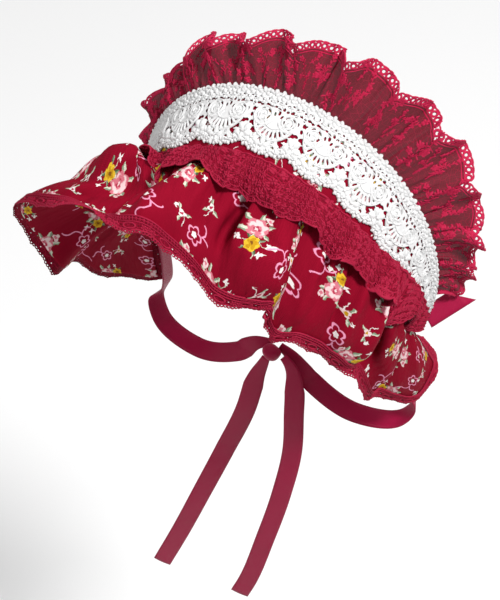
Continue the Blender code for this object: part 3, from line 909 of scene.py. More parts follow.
# Looped leaves: x, y and turn
LOOPED_LEAVES = ((0.0186, 0.0302, -0.25), (0.0225, 0.0282, -0.6), (0.0182, 0.0270, -0.2))
# Rows of small openings: first x and y, rise of every other one, half sizes and added turn
NET_ROWS = (
    (0.0009, 0.0049, 0.0007, 0.0010, 0.0007, 0.9),
    (0.0018, 0.0081, 0.0008, 0.0012, 0.0008, 0.7),
)
# Single openings: x, y and turn
LOOSE_HOLES = (
    (0.0006, 0.0118, 1.5),
    (0.0008, 0.0152, 1.2),
    (0.0150, 0.0108, 1.5),
    (0.0284, 0.0185, 0.4),
    (0.0060, 0.0240, 0.5),
    (0.0195, 0.0285, 0.5),
    (0.0236, 0.0255, 0.5),
    (0.0178, 0.0300, 0.5),
    (0.0085, 0.0298, 0.5),
)


def rim_flowers():
    """Middles of the small flowers that make up the strip's front edge, for one repeat."""
    xs = GUIPURE_REPEAT * RIM_FLOWER_SHARES
    return np.stack([xs, guipure_rim(xs) - RIM_FLOWER * 0.86], -1)


def ovals_round(middle, radius, turns, half_length, half_width, tilt=0.0):
    """Ring of oval openings, each turned to its own angle and a tilt."""
    spots = np.array(middle) + radius * way_at(turns)
    return [(*spot, half_length, half_width, turn + tilt) for spot, turn in zip(spots, turns)]


def guipure_holes():
    """Openings of one repeat: x, y, half length, half width and turn."""
    ovals = ovals_round(FAN, 0.0129, np.radians(22 + 17 * np.arange(9)), 0.0015, 0.00105)
    ovals += ovals_round(FAN, 0.0087, np.radians(19.8 + FAN_STEP * np.arange(9)), 0.0017, 0.0006)
    fifths = np.radians(20 + 72 * np.arange(5))
    for middle, radius, _ in SPIRALS:
        ovals += ovals_round(middle, radius * 0.52, fifths, 0.0013, 0.0009, 1.2)
        ovals += ovals_round(middle, radius * 0.96, fifths + 0.6, 0.0012, 0.0006, 1.6)
    for x, y, rise, long, wide, turn in NET_ROWS:
        for k in range(12):
            ovals.append((NET_PITCH * k + x, y + rise * (k % 2), long, wide, turn * k))
    for side in (-1, 1):
        for turn, reach in ((-0.5, 0.0066), (0.25, 0.0064), (0.95, 0.0066)):
            spot = np.array(JUNCTION) + reach * way_at(turn) * np.array([side, -0.9])
            ovals.append((*spot, 0.0012, 0.0009, side * turn))
    return ovals + [(x, y, 0.0013, 0.0008, turn) for x, y, turn in LOOSE_HOLES]


def cut_ovals(value, x, y, ovals, shifts=(0.0,)):
    """Lowers a field to below 0 in each oval."""
    for cx, cy, long, wide, turn in ovals:
        for shift in shifts:
            dx = x - cx - shift
            dy = y - cy
            a = (dx * math.cos(turn) + dy * math.sin(turn)) / long
            b = (-dx * math.sin(turn) + dy * math.cos(turn)) / wide
            value = np.minimum(value, (np.sqrt(a * a + b * b) - 1) * wide)
    return value


def guipure_inside(x, y):
    """Field over 0 where one repeat of the guipure has cloth."""
    wave = np.cos(2 * math.pi * (x - BACK_START) / GUIPURE_REPEAT * BACK_FLOWERS)
    back = 0.0024 + 0.0009 * wave
    value = guipure_rim(x) - RIM_FLOWER * 1.35 - y
    shifts = (-GUIPURE_REPEAT, 0.0, GUIPURE_REPEAT)
    for cx, cy in rim_flowers():
        for shift in shifts:
            value = np.maximum(value, RIM_FLOWER * 0.8 - np.hypot(x - cx - shift, y - cy))
    return cut_ovals(np.minimum(value, y - back), x, y, guipure_holes(), shifts)


def guipure_threads():
    """Cords and flowers of one repeat."""
    work = Threads(DOME, GUIPURE_BASE)
    for k in range(BACK_FLOWERS):
        x = BACK_START + BACK_PITCH * k
        work.flower((x, 0.0015), 0.0034, 5, 0.0017, 0.4 + 0.9 * k)
        work.flower((x + BACK_START, 0.0063), 0.0021, 5, 0.0011, 1.1 * k)
    for middle, radius, side in SPIRALS:
        turn = np.linspace(0.3, 0.3 + 2 * math.pi * SPIRAL_TURNS, 52)
        reach = radius * np.linspace(1.0, 0.30, 52)
        path = np.array(middle) + way_at(turn) * np.array([side, 1]) * reach[:, None]
        work.cord(path, np.linspace(0.0014, 0.0009, 52), 0.0012)
        work.ring(middle, radius * 0.80, 0.0006, 0.0008, 26)
        work.flower(middle, radius * 0.24, 4, 0.0009)
    for k in range(11):
        way = way_at(math.radians(12 + FAN_STEP * k))
        work.cord(np.array(FAN) + way * np.linspace(0.0062, 0.0108, 4)[:, None], 0.0014, 0.0010)
    for reach, width in ((0.0056, 0.0010), (0.0114, 0.0011)):
        path = np.array(FAN) + reach * way_at(np.radians(np.linspace(2, 178, 24)))
        work.cord(path, width, 0.0011)
    for spot, radius, height, turn in LARGE_FLOWERS:
        work.flower(spot, radius, 5, height, turn, RAISED)
    for *spot, turn in LOOPED_LEAVES:
        work.ring(spot, 0.0011, 0.0006, 0.0006, 10)
        work.petal(spot, turn, -0.0024, 0.0048, 0.0011, 0.0006)
    for k, spot in enumerate(rim_flowers()):
        work.flower(spot, RIM_FLOWER * 1.1, 5, 0.0015, 0.8 * k)
    xs = np.linspace(0, GUIPURE_REPEAT, 18)
    wave = 0.0092 + 0.0005 * np.sin(xs / GUIPURE_REPEAT * 4 * math.pi)
    work.cord(flat_points(xs, wave), 0.0007, 0.0005)
    return work


def make_guipure(material):
    grid = guipure_grid()
    ground = plate(guipure_inside, GUIPURE_REPEAT, (0.0, GUIPURE_DEPTH), GUIPURE_STEP)
    laid = (GUIPURE_REPEAT, GUIPURE_REPEATS, grid)
    sheet = plates("guipure_ground", ground, *laid, GUIPURE_LIFT, GUIPURE_WALL, material)
    work = Threads(DOME)
    work.add_copies(guipure_threads(), GUIPURE_REPEAT, GUIPURE_REPEATS)
    relief = work.made("guipure_relief", grid, material)
    seat_on("lace_strip", "white_guipure", sheet, relief)


# Back frill: eyelets and samples in a repeat, its cords as width and height, and its sprigs
EYELETS = 12
FRILL_STEPS = 36
PIP_HEIGHT = 0.0004
RIM_CORD = (0.0010, 0.0005)
BORDER_CORD = (0.0008, 0.0005)
INNER_CORD = (0.0007, 0.0004)
END_CORD = (0.0010, 0.0006)
INNER_CORD_INSET = 0.0016
END_INSET = 0.0004
SPRIG_BEND = 1.1
SPRIG_CLEAR = 0.0115
SPRIG_INSET = 0.0035
SPRIG_HEIGHT = 0.0006

# Front frill: lean of its waves in degrees, heights over the brim and what each fold's rise adds, the
# brim's rolled fold where it is smaller, and its border and rows of flowers
FRONT_LEAN = 4.6
HEM_LIFT = 0.0014
HEM_GAIN = 1.55
CROWN_LIFT = 0.0048
CROWN_GAIN = 1.6
ROLL_ANGLE = -56.0
ROLL_HALF_WIDTH = 10.0
FRONT_BORDER = 0.0024
FLOWER_ROWS = 4
FIRST_FLOWER_ROW = 0.0028
FLOWER_ROW_PITCH = 0.0044

# Stretches where the front frill moves up on the band, gets shorter and bunches: start and length
MOVES_UP = (48, 34)
SHORTENS = (73, 9)
BUNCHES = (35, 20)


def within(angle, stretch):
    """0 before a stretch of the band and 1 after it."""
    return ease((angle - stretch[0]) / stretch[1])


def scallop_edge(depth, dip, repeat):
    """Round scallops, deepest at whole repeats."""
    def edge(s):
        from_bottom = 2 * ((np.asarray(s) / repeat + 0.5) % 1) - 1
        return depth - dip * (1 - np.sqrt(1 - 0.96 * from_bottom**2))

    return edge


def cut_to(grid, edge):
    """The grid with its far side drawn in to a line across the flat cloth."""
    columns, rows = grid.points.shape[:2]
    along, share = spread(0, grid.length, columns, rows)
    flat = flat_points(along, share * edge(along)).reshape(-1, 2)
    points = lay(grid, flat, np.zeros(len(flat))).reshape(columns, rows, 3)
    return Grid(points, grid_out(points), grid.length, grid.depth)


def sprig(work, middle, turn, size, height):
    """Embroidered sprig: a curved stem with leaves and a small flower at its end."""
    bend = turn + SPRIG_BEND * np.linspace(0, 1, 7)
    path = np.cumsum(way_at(bend) * size / 6, axis=0) + np.array(middle)
    work.cord(path, size * 0.055, height)
    for k, side in ((1, 1), (2, -1), (3, 1), (4, -1), (5, 1)):
        work.petal(path[k], bend[k] + side * 0.9, 0.0, size * 0.26, size * 0.11, height)
    work.flower(path[-1], size * 0.22, 5, height, turn=turn)


# Sprigs of one repeat of the back frill: shares of the repeat and of the net's depth, turn and size
SPRIGS = table(
    "x y turn size",
    (0.02, 0.86, 0.6, 0.01),
    (0.16, 0.78, 2.2, 0.010625),
    (0.30, 0.80, -0.4, 0.009375),
    (0.44, 0.66, 3.4, 0.01),
    (0.58, 0.70, 0.2, 0.01),
    (0.72, 0.80, 2.6, 0.01),
    (0.86, 0.76, -0.7, 0.01),
    (0.08, 0.58, 3.0, 0.01),
    (0.24, 0.52, 0.9, 0.01),
    (0.38, 0.44, 2.0, 0.009375),
    (0.52, 0.46, -0.5, 0.01),
    (0.68, 0.54, 1.4, 0.01),
    (0.82, 0.50, 3.8, 0.01),
    (0.96, 0.46, 0.4, 0.009375),
    (0.14, 0.30, 2.4, 0.009375),
    (0.32, 0.24, 0.1, 0.009375),
    (0.50, 0.22, 3.3, 0.009375),
    (0.66, 0.30, 1.0, 0.009375),
    (0.84, 0.24, -0.3, 0.009375),
    (0.02, 0.24, 1.2, 0.00875),
)


def frill_threads(length, depth, repeats):
    """Scalloped border of round eyelets between cords, and sprigs over the net."""
    work = Threads(TUBE)
    repeat = length / repeats
    whole = scallop_edge(depth, FRILL_DIP, repeat)

    def edge(s):
        return whole(s + repeat / 2)

    s = np.linspace(0, length, repeats * FRILL_STEPS + 1)
    pips = PIP_HEIGHT * np.abs(np.sin(math.pi * s / repeat * EYELETS))
    work.cord(flat_points(s, edge(s) + pips), *RIM_CORD)
    work.cord(flat_points(s, edge(s) - FRILL_BORDER), *BORDER_CORD)
    work.cord(flat_points(s, edge(s) - FRILL_BORDER - INNER_CORD_INSET), *INNER_CORD)
    for end in (END_INSET, length - END_INSET):
        down = np.linspace(0.0006, float(edge(end)), 12)
        work.cord(flat_points(end + 0 * down, down), *END_CORD)
    pitch = repeat / EYELETS
    for at in np.arange(repeats * EYELETS) * pitch + pitch / 2:
        work.ring((at, float(edge(at)) - FRILL_BORDER / 2), 0.0016, 0.0015, 0.0006, 9)
    for k in range(repeats):
        for row in SPRIGS:
            along = min(max((k + row.x) * repeat, SPRIG_CLEAR), length - SPRIG_CLEAR)
            y = row.y * (float(edge(along)) - FRILL_BORDER - SPRIG_INSET)
            sprig(work, (along, y), row.turn + 0.5 * (k % 3), row.size, SPRIG_HEIGHT)
    return work, edge


def back_frill_point(angle, share):
    """The back ruffle with folds that lean over and the gathers of its sewn side."""
    t = np.asarray(share)
    lean = waves(angle, BACK_LEAN) * t + waves(angle, BACK_SWAY) * t * (1.2 - t)
    point = back_ruffle_point(angle + lean, share)
    across = back_ruffle_point(angle + lean, share + 0.02) - point
    along = back_ruffle_point(angle + lean + 0.3, share) - point
    gathers = waves(angle, BACK_GATHERS) * np.clip(t * 8, 0, 1) * np.clip(1.0 - t, 0, 1) ** 1.2
    height = gathers + waves(angle, BACK_SOFT) * t
    return point + unit(np.cross(across, along)) * height[..., None]


def make_back_frill(net, thread):
    depth = BACK_RUFFLE_DEPTH
    crests = column(BACK_FOLDS, "angle")[::2]
    grid = flat_grid(back_frill_point, crests[0], crests[-1], depth, 1400, 18, crests)
    work, edge = frill_threads(grid.length, depth, len(crests) - 1)
    sheet = cloth("back_frill_net", cut_to(grid, lambda s: edge(s) - FRILL_BORDER), 0.0, net)
    relief = work.made("back_frill_threads", grid, thread)
    seat_on("back_ruffle", "red_lace", sheet, relief)
    length = mean_length(grid)
    across = np.linspace(0, grid.length, 2000)
    area = length * float(np.mean(edge(across) - FRILL_BORDER))


def front_frill_point(angle, share):
    """The front ruffle as lazy waves that overlap, close over the brim's seam."""
    t = np.asarray(share)
    folds = column(FRONT_FOLDS, "angle")
    phase = np.interp(angle, folds, math.pi * np.arange(len(folds)))
    angle = angle + FRONT_LEAN * np.sin(phase + 0.5) * t
    over = FRONT_RUFFLE_BAND_SIDE + FRILL_OVER * within(angle, MOVES_UP)
    heading = on_head(angle, band_front(angle) - over, FRILL_LIFT)
    at_roll = np.exp(-(((angle - ROLL_ANGLE) / ROLL_HALF_WIDTH) ** 2))
    reach = FRONT_RUFFLE_BRIM_SIDE * from_table(FRONT_FOLDS, "reach", angle)
    reach = reach * (1 - 0.42 * within(angle, SHORTENS)) * (1 - 0.45 * at_roll)
    rise = FRONT_RUFFLE_RISE * from_table(FRONT_FOLDS, "rise", angle) * (1 - 0.85 * at_roll)
    brim_share = reach / BRIM_DEPTH
    hem = over_brim(angle, brim_share, HEM_LIFT + HEM_GAIN * rise)
    crown = over_brim(angle, brim_share * 0.4, CROWN_LIFT + CROWN_GAIN * rise)
    point = bow(heading, crown, hem, t[..., None])
    gathers = waves(angle, FRONT_GATHERS) * np.clip(1.1 - t, 0, 1)
    soft = (0.0022 + 0.0018 * within(angle, BUNCHES)) * waves(angle, FRONT_SOFT) * t
    return point + out_of(brim_point, angle, brim_share * t) * (gathers + soft)[..., None]


def make_front_frill(net, thread):
    depth = FRONT_RUFFLE_BAND_SIDE + FRONT_RUFFLE_BRIM_SIDE
    end = FRONT_RUFFLE_END_ANGLE
    grid = flat_grid(front_frill_point, -end, end, depth, 1100, 16)
    work = Threads(TUBE)
    repeats = round(grid.length / FRONT_FRILL_REPEAT)
    repeat = grid.length / repeats
    edge = scallop_edge(depth, FRONT_FRILL_DIP, repeat)
    s = np.linspace(0, grid.length, repeats * 12 + 1)
    work.cord(flat_points(s, edge(s)), *END_CORD)
    work.cord(flat_points(s, edge(s) - FRONT_BORDER), 0.0007, 0.0005)
    work.cord(flat_points(s, END_INSET), 0.0009, 0.0005)
    for k in range(repeats * 2):
        x = (k + 0.5) * repeat / 2
        work.ring((x, float(edge(x)) - FRONT_BORDER / 2), 0.0008, 0.0007, 0.0005, 7)
        for row in range(FLOWER_ROWS):
            spot = (x + repeat / 4 * (row % 2), FIRST_FLOWER_ROW + row * FLOWER_ROW_PITCH)
            work.flower(spot, 0.0019, 5, 0.0007, turn=0.7 * k + row)
            if row < FLOWER_ROWS - 1:
                work.petal(spot, 1.2 + 0.9 * k, 0.0016, 0.0026, 0.0008, 0.0005)
    sheet = cloth("front_frill_net", cut_to(grid, edge), 0.0, net)
    relief = work.made("front_frill_threads", grid, thread)
    seat_on("front_ruffle", "red_lace", sheet, relief)


# Edge lace of the brim
def edge_grid():
    """Narrow grid out from the brim's two ends and its long edge."""
    shares = np.linspace(0.3, CLOTH_SHARE, 60)
    rows = []
    for side in (-1, 1):
        end = np.full_like(shares, side * BAND_END_ANGLE)
        here = brim_surface(end, shares)
        rows.append((here, unit(here - brim_surface(end - side * 1.5, shares))))
    angles = np.linspace(-BAND_END_ANGLE, BAND_END_ANGLE, FINE_STEPS)
    here = brim_surface(angles, CLOTH_SHARE + 0 * angles)
    out = unit(here - brim_surface(angles, CLOTH_SHARE - 0.05 + 0 * angles))
    points = np.concatenate([rows[0][0], here[1:-1], rows[1][0][::-1]])
    ways = np.concatenate([rows[0][1], out[1:-1], rows[1][1][::-1]])
    run = run_along(points)
    even = np.linspace(0, run[-1], EDGE_STEPS)
    points, ways = (
        np.stack([np.interp(even, run, values[:, k]) for k in range(3)], -1)
        for values in (points, ways)
    )
    near = round(EDGE_SMOOTHING / (run[-1] / EDGE_STEPS))
    kernel = np.ones(2 * near + 1) / (2 * near + 1)
    padded = np.pad(ways, ((near, near), (0, 0)), mode="edge")
    ways = unit(np.stack([np.convolve(padded[:, k], kernel, "valid") for k in range(3)], -1))
    across = np.linspace(0, EDGE_LACE_WIDTH, 4)
    grid = points[:, None] + ways[:, None] * across[None, :, None] + mount_shift()
    return Grid(grid, grid_out(grid), float(run[-1]), EDGE_LACE_WIDTH)


def edge_rim(x, repeat):
    """Outer line of the edge lace: a long scallop to a repeat, with three small ones on it."""
    phase = math.pi * np.asarray(x) / repeat
    return EDGE_LACE_WIDTH - 0.0012 * np.abs(np.cos(phase)) ** 1.3 - 0.0006 * np.abs(np.cos(3 * phase))


def edge_inside(repeat):
    """Field over 0 where one repeat of the edge lace has net."""
    holes = []
    for side in (-1, 1):
        holes.append(((0.5 + 0.24 * side) * repeat, 0.0030, 0.0005, 0.0004, 0.9 * side))
        holes.append(((0.5 + 0.38 * side) * repeat, 0.0036, 0.0005, 0.0004, 0.0))

    def inside(x, y):
        return cut_ovals(np.minimum(edge_rim(x, repeat) - y, y + EDGE_LACE_OVER), x, y, holes)

    return inside


def edge_threads(repeat):
    """Cords, loops and flowers of one repeat of the edge lace."""
    work = Threads(DOME, EDGE_LACE_LIFT)
    work.ring((repeat / 2, 0.0031), (0.0034, 0.0015), 0.0010, 0.0008, 18)
    xs = np.linspace(0, repeat, 22)
    work.cord(flat_points(xs, edge_rim(xs, repeat)), 0.0010, 0.0008)
    for y, width in ((0.0008, 0.0007), (-0.0008, 0.0006), (0.0003 - EDGE_LACE_OVER, 0.0009)):
        work.cord(flat_points(xs, y), width, 0.0007)
    for x in np.linspace(0, repeat, 12)[:-1] + repeat / 22:
        work.ring((x, float(edge_rim(x, repeat)) + 0.0006), 0.0009, 0.0007, 0.0007, 8)
        work.petal((x, -0.0008), 1.57, -0.0012, 0.0024, 0.0010, 0.0006)
    for x in (0.0, 0.13, 0.87):
        work.flower((x * repeat, 0.0030), 0.0019, 5, 0.0008, x * 9)
    return work


def make_edge_lace(net, thread):
    grid = edge_grid()
    repeats = round(grid.length / EDGE_REPEAT)
    repeat = grid.length / repeats
    ground = plate(edge_inside(repeat), repeat, (-EDGE_LACE_OVER, EDGE_LACE_WIDTH), 0.0006)
    sheet = plates("edge_lace_ground", ground, repeat, repeats, grid, EDGE_LACE_LIFT, 0.0003, net)
    work = Threads(DOME)
    work.add_copies(edge_threads(repeat), repeat, repeats)
    relief = work.made("edge_lace_threads", grid, thread)
    seat_on("edge_lace", "red_lace", sheet, relief)


# Ribbons and knot
KNOT_FLAT = (0.036, 0.014)


def crowned(run, facing, widths, slant=0.0, across=7, crown=0.0):
    """Grid of a ribbon, a little crowned across, its flat side towards facing."""
    way = unit(np.gradient(run, axis=0))
    side = unit(np.cross(way, facing))
    out = unit(np.cross(side, way))
    rows = []
    for t in np.linspace(-0.5, 0.5, across):
        row = run + side * (t * np.asarray(widths))[:, None] + out * crown * (0.25 - t * t) * 4
        row[-1] += way[-1] * slant * 2 * t
        rows.append(row)
    return np.stack(rows, 1)


def ribbon(name, points, material, node):
    """Visible ribbon from its grid of points, whose middle column gives the length."""
    points = points + mount_shift()
    length = float(run_along(points[:, 3])[-1])
    grid = Grid(points, grid_out(points), length, RIBBON_WIDTH)
    obj = cloth(name, grid, RIBBON_WALL * RIBBON_WALL_SHARE, material)
    seat_on(node, "satin_ribbon", obj)


def make_ribbons(material):
    for side, name in ((1, "left"), (-1, "right")):
        run = chin_tie_run(side, RIBBON_STEPS)
        share = np.linspace(0, 1, len(run))[:, None]
        tip = np.array(BAND_END_ANGLE * side)
        cheek = head_axes(tip, band_front(tip))[1]
        outward = cheek * (1 - share) + np.array(CHIN_FACING) * share
        outward = outward + np.array(KNOT_FACING) * np.clip(share * 6 - 5, 0, 1)
        points = crowned(run, unit(outward), pinched(len(run), False, True))
        ribbon("chin_ribbon_" + name, points, material, "chin_tie_" + name)
    tails = (("left", TAIL_LEFT_START, TAIL_LEFT_RUN), ("right", TAIL_RIGHT_START, TAIL_RIGHT_RUN))
    for name, start, rows in tails:
        shares = [(p.left, -p.forward, -p.down) for p in rows]
        run = knot_middle() + knot_sizes() * start + TAIL_LENGTH * through(shares, RIBBON_STEPS)
        facing = np.tile(TAIL_FACING, (len(run), 1))
        points = crowned(run, facing, pinched(len(run), True, False), crown=TAIL_CROWN)
        ribbon("hanging_ribbon_" + name, points, material, "tie_tail_" + name)
    for side, name in ((1, "left"), (-1, "right")):
        angle = np.array(side * RIBBON_FOLD_ANGLE)
        start = on_head(angle, band_back(angle) - RIBBON_FOLD_BEHIND, RIBBON_FOLD_LIFT)
        way = unit(np.array(RIBBON_FOLD_WAY)) * np.array([side, 1, 1])
        run = start + RIBBON_FOLD_LENGTH * np.outer(np.linspace(0, 1, 24), way)
        facing = np.tile(np.array(FOLD_FACING) * (side, 1, 1), (len(run), 1))
        points = crowned(run, facing, np.full(24, RIBBON_WIDTH), RIBBON_FOLD_SLANT)
        ribbon("side_ribbon_" + name, points, material, "ribbon_fold_" + name)


def make_knot(material):
    """Knot of the two ribbons, with the soft ridges of its wraps."""
    turn, polar = np.meshgrid(
        np.linspace(0, 2 * math.pi, 72), np.linspace(0.03, math.pi - 0.03, 40), indexing="ij"
    )
    ridge = 1 + 0.06 * np.sin(3 * turn + 2.2 * np.cos(polar)) * np.sin(polar)
    reach = np.sin(polar) ** 0.8 * ridge * 0.95
    shape = np.stack([reach * np.cos(turn), reach * np.sin(turn), np.cos(polar)], -1)
    points = shape * knot_sizes() + knot_middle() + mount_shift()
    obj = cloth("ribbon_knot", Grid(points, grid_out(points), *KNOT_FLAT), 0.0, material)
    seat_on("tie_knot", "satin_ribbon", obj)


# Materials
class Nodes:
    """Short calls for a material's shader nodes."""

    def __init__(self, name):
        self.material = bpy.data.materials.new(name)
        self.material.use_nodes = True
        self.tree = self.material.node_tree
        self.shader = self.tree.nodes["Principled BSDF"]
        self.uv = self.new("ShaderNodeUVMap", uv_map="flat").outputs["UV"]

    def put(self, value, socket):
        if isinstance(value, bpy.types.NodeSocket):
            self.tree.links.new(value, socket)
        else:
            socket.default_value = value

    def new(self, kind, *values, **settings):
        """Node with its settings, and values or sockets for its first inputs."""
        node = self.tree.nodes.new(kind)
        for name, value in settings.items():
            setattr(node, name, value)
        for value, socket in zip(values, node.inputs):
            self.put(value, socket)
        return node

    def fill(self, node, **values):
        """The node with values or sockets for its named inputs."""
        for name, value in values.items():
            self.put(value, node.inputs[name])
        return node

    def math(self, operation, *values):
        return self.new("ShaderNodeMath", *values, operation=operation).outputs[0]

    def vector(self, operation, *values):
        node = self.new("ShaderNodeVectorMath", *values, operation=operation)
        return node.outputs["Vector"]

    def mix(self, share, first, second):
        node = self.new("ShaderNodeMix", share, data_type="RGBA")
        self.put(first, node.inputs[6])
        self.put(second, node.inputs[7])
        return node.outputs[2]

    def ramp(self, value, low, high, to_low=0.0, to_high=1.0):
        values = (value, low, high, to_low, to_high)
        return self.new("ShaderNodeMapRange", *values, interpolation_type="SMOOTHSTEP").outputs[0]

    def noise(self, scale, detail=2.0, vector=None, output="Fac"):
        node = self.new("ShaderNodeTexNoise")
        self.fill(node, Vector=vector or self.uv, Scale=scale, Detail=detail)
        return node.outputs[output]

    def cells(self, vector, pitch, randomness=1.0, feature="DISTANCE_TO_EDGE"):
        node = self.new("ShaderNodeTexVoronoi", voronoi_dimensions="2D", feature=feature)
        return self.fill(node, Vector=vector, Scale=1 / pitch, Randomness=randomness)

    def bump(self, height, distance, strength, normal=None):
        node = self.new("ShaderNodeBump")
        self.fill(node, Strength=strength, Distance=distance, Height=height)
        if normal is not None:
            self.fill(node, Normal=normal)
        return node.outputs["Normal"]

    def weave(self, threads_per_metre, turn):
        """Fine ribs across the flat cloth, at an angle to its length."""
        split = self.new("ShaderNodeSeparateXYZ", self.uv)
        x = self.math("MULTIPLY", split.outputs[0], threads_per_metre * math.cos(turn) * 2 * math.pi)
        y = self.math("MULTIPLY", split.outputs[1], threads_per_metre * math.sin(turn) * 2 * math.pi)
        return self.math("SINE", self.math("ADD", x, y))

    def finish(self, colour, roughness, normal, gloss=0.08):
        self.put(colour, self.shader.inputs["Base Color"])
        self.put(gloss, self.shader.inputs["Specular IOR Level"])
        self.fill(self.shader, Roughness=roughness, Normal=normal)
        return self.material


# How far the print's outlines wander, as if painted, in metres, and how finely
PRINT_WOBBLE = 0.0028
BRUSH_SCALE = 420.0

# Threads or ribs to a metre, and the size of the nets' curls in metres
COTTON_THREADS = 1500
THREAD_RIBS = 2600
SATIN_THREADS = 3400
CRUMPLES_PER_METRE = (80.0, 17.0, 0.0)
NET_CURL = 0.0036


class Motif:
    """A spray of the print: x and y from the middle of its own randomly turned cell, in metres."""

    def __init__(self, nodes, pitch, shift, randomness, size, wobbling=PRINT_WOBBLE):
        n = nodes
        self.nodes = nodes
        self.pitch = pitch
        self.shift = shift
        self.randomness = randomness
        place = n.vector("ADD", n.uv, (*shift, 0.0))
        cells = n.cells(place, pitch, randomness, "F1")
        self.middle = cells.outputs["Position"]
        wobble = n.vector("SUBTRACT", n.noise(BRUSH_SCALE, 1.0, output="Color"), (0.5, 0.5, 0.5))
        wobble = n.vector("MULTIPLY", wobble, (wobbling, wobbling, 0.0))
        local = n.vector("ADD", n.vector("SUBTRACT", place, self.middle), wobble)
        local = n.vector("MULTIPLY", local, (1 / size, 1 / size, 0.0))
        chances = n.new("ShaderNodeSeparateColor", cells.outputs["Color"])
        turn = n.new("ShaderNodeVectorRotate", rotation_type="Z_AXIS")
        n.fill(turn, Vector=local, Angle=n.math("MULTIPLY", chances.outputs[0], 2 * math.pi))
        split = n.new("ShaderNodeSeparateXYZ", turn.outputs[0])
        self.x = split.outputs[0]
        self.y = split.outputs[1]
        self.chance = chances.outputs[1]

    def clear_of(self, other, limit):
        """1 in each whole cell whose middle is farther than the limit from the other's middles."""
        n = self.nodes
        move = (other.shift[0] - self.shift[0], other.shift[1] - self.shift[1], 0.0)
        near = n.cells(n.vector("ADD", self.middle, move), other.pitch, other.randomness, "F1")
        return n.math("GREATER_THAN", near.outputs["Distance"], limit / other.pitch)

    def polar(self, cx, cy):
        """Distance and angle from a point."""
        n = self.nodes
        dx = n.math("SUBTRACT", self.x, cx)
        dy = n.math("SUBTRACT", self.y, cy)
        squares = n.math("ADD", n.math("MULTIPLY", dx, dx), n.math("MULTIPLY", dy, dy))
        return n.math("SQRT", squares), n.math("ARCTAN2", dy, dx)

    def petals(self, spot, radius, count, depth, soft=0.00025, turn=0.0):
        """Mask of a flower with that many round petals."""
        n = self.nodes
        far, angle = spot
        lobes = n.math("ABSOLUTE", n.math("COSINE", n.math("MULTIPLY_ADD", angle, count / 2, turn)))
        rim = n.math("MULTIPLY_ADD", lobes, radius * depth, radius * (1 - depth))
        return n.ramp(n.math("SUBTRACT", rim, far), -soft, soft)

    def leaves(self, spot, reach, length, width, count, turn=0.0, soft=0.0002):
        """Mask of leaves that point out round a spot, and which half of each leaf is lit."""
        n = self.nodes
        far, angle = spot
        sector = 2 * math.pi / count
        wrapped = n.math("WRAP", n.math("ADD", angle, turn), sector / 2, -sector / 2)
        along = n.math("SUBTRACT", n.math("MULTIPLY", far, n.math("COSINE", wrapped)), reach)
        across = n.math("MULTIPLY", far, n.math("SINE", wrapped))
        share = n.math("MULTIPLY", along, 2 / length)
        half = n.math("MULTIPLY_ADD", n.math("MULTIPLY", share, share), -width / 2, width / 2)
        mask = n.ramp(n.math("SUBTRACT", half, n.math("ABSOLUTE", across)), -soft, soft)
        return mask, n.ramp(across, -soft, soft)

    def arc(self, cx, cy, radius, width, from_angle, to_angle):
        """Mask of a thin curved stem."""
        n = self.nodes
        far, angle = self.polar(cx, cy)
        line = n.math("ABSOLUTE", n.math("SUBTRACT", far, radius))
        mask = n.ramp(n.math("SUBTRACT", width / 2, line), -0.0001, 0.0002)
        after = n.math("GREATER_THAN", angle, from_angle)
        before = n.math("LESS_THAN", angle, to_angle)
        return n.math("MULTIPLY", mask, n.math("MULTIPLY", after, before))


CRIMSON = (0.262, 0.0012, 0.0170, 1)
ROSE = (0.62, 0.17, 0.22, 1)
PALE_ROSE = (0.80, 0.60, 0.60, 1)
DEEP_ROSE = (0.42, 0.03, 0.07, 1)
YELLOW = (0.72, 0.46, 0.03, 1)
GOLD = (0.50, 0.27, 0.01, 1)
OCHRE = (0.20, 0.08, 0.01, 1)
DARK_LEAF = (0.06, 0.11, 0.05, 1)
LEAF = (0.22, 0.30, 0.20, 1)
PALE_LEAF = (0.62, 0.66, 0.52, 1)
CREAM = (0.82, 0.76, 0.74, 1)
PINK = (0.78, 0.30, 0.46, 1)


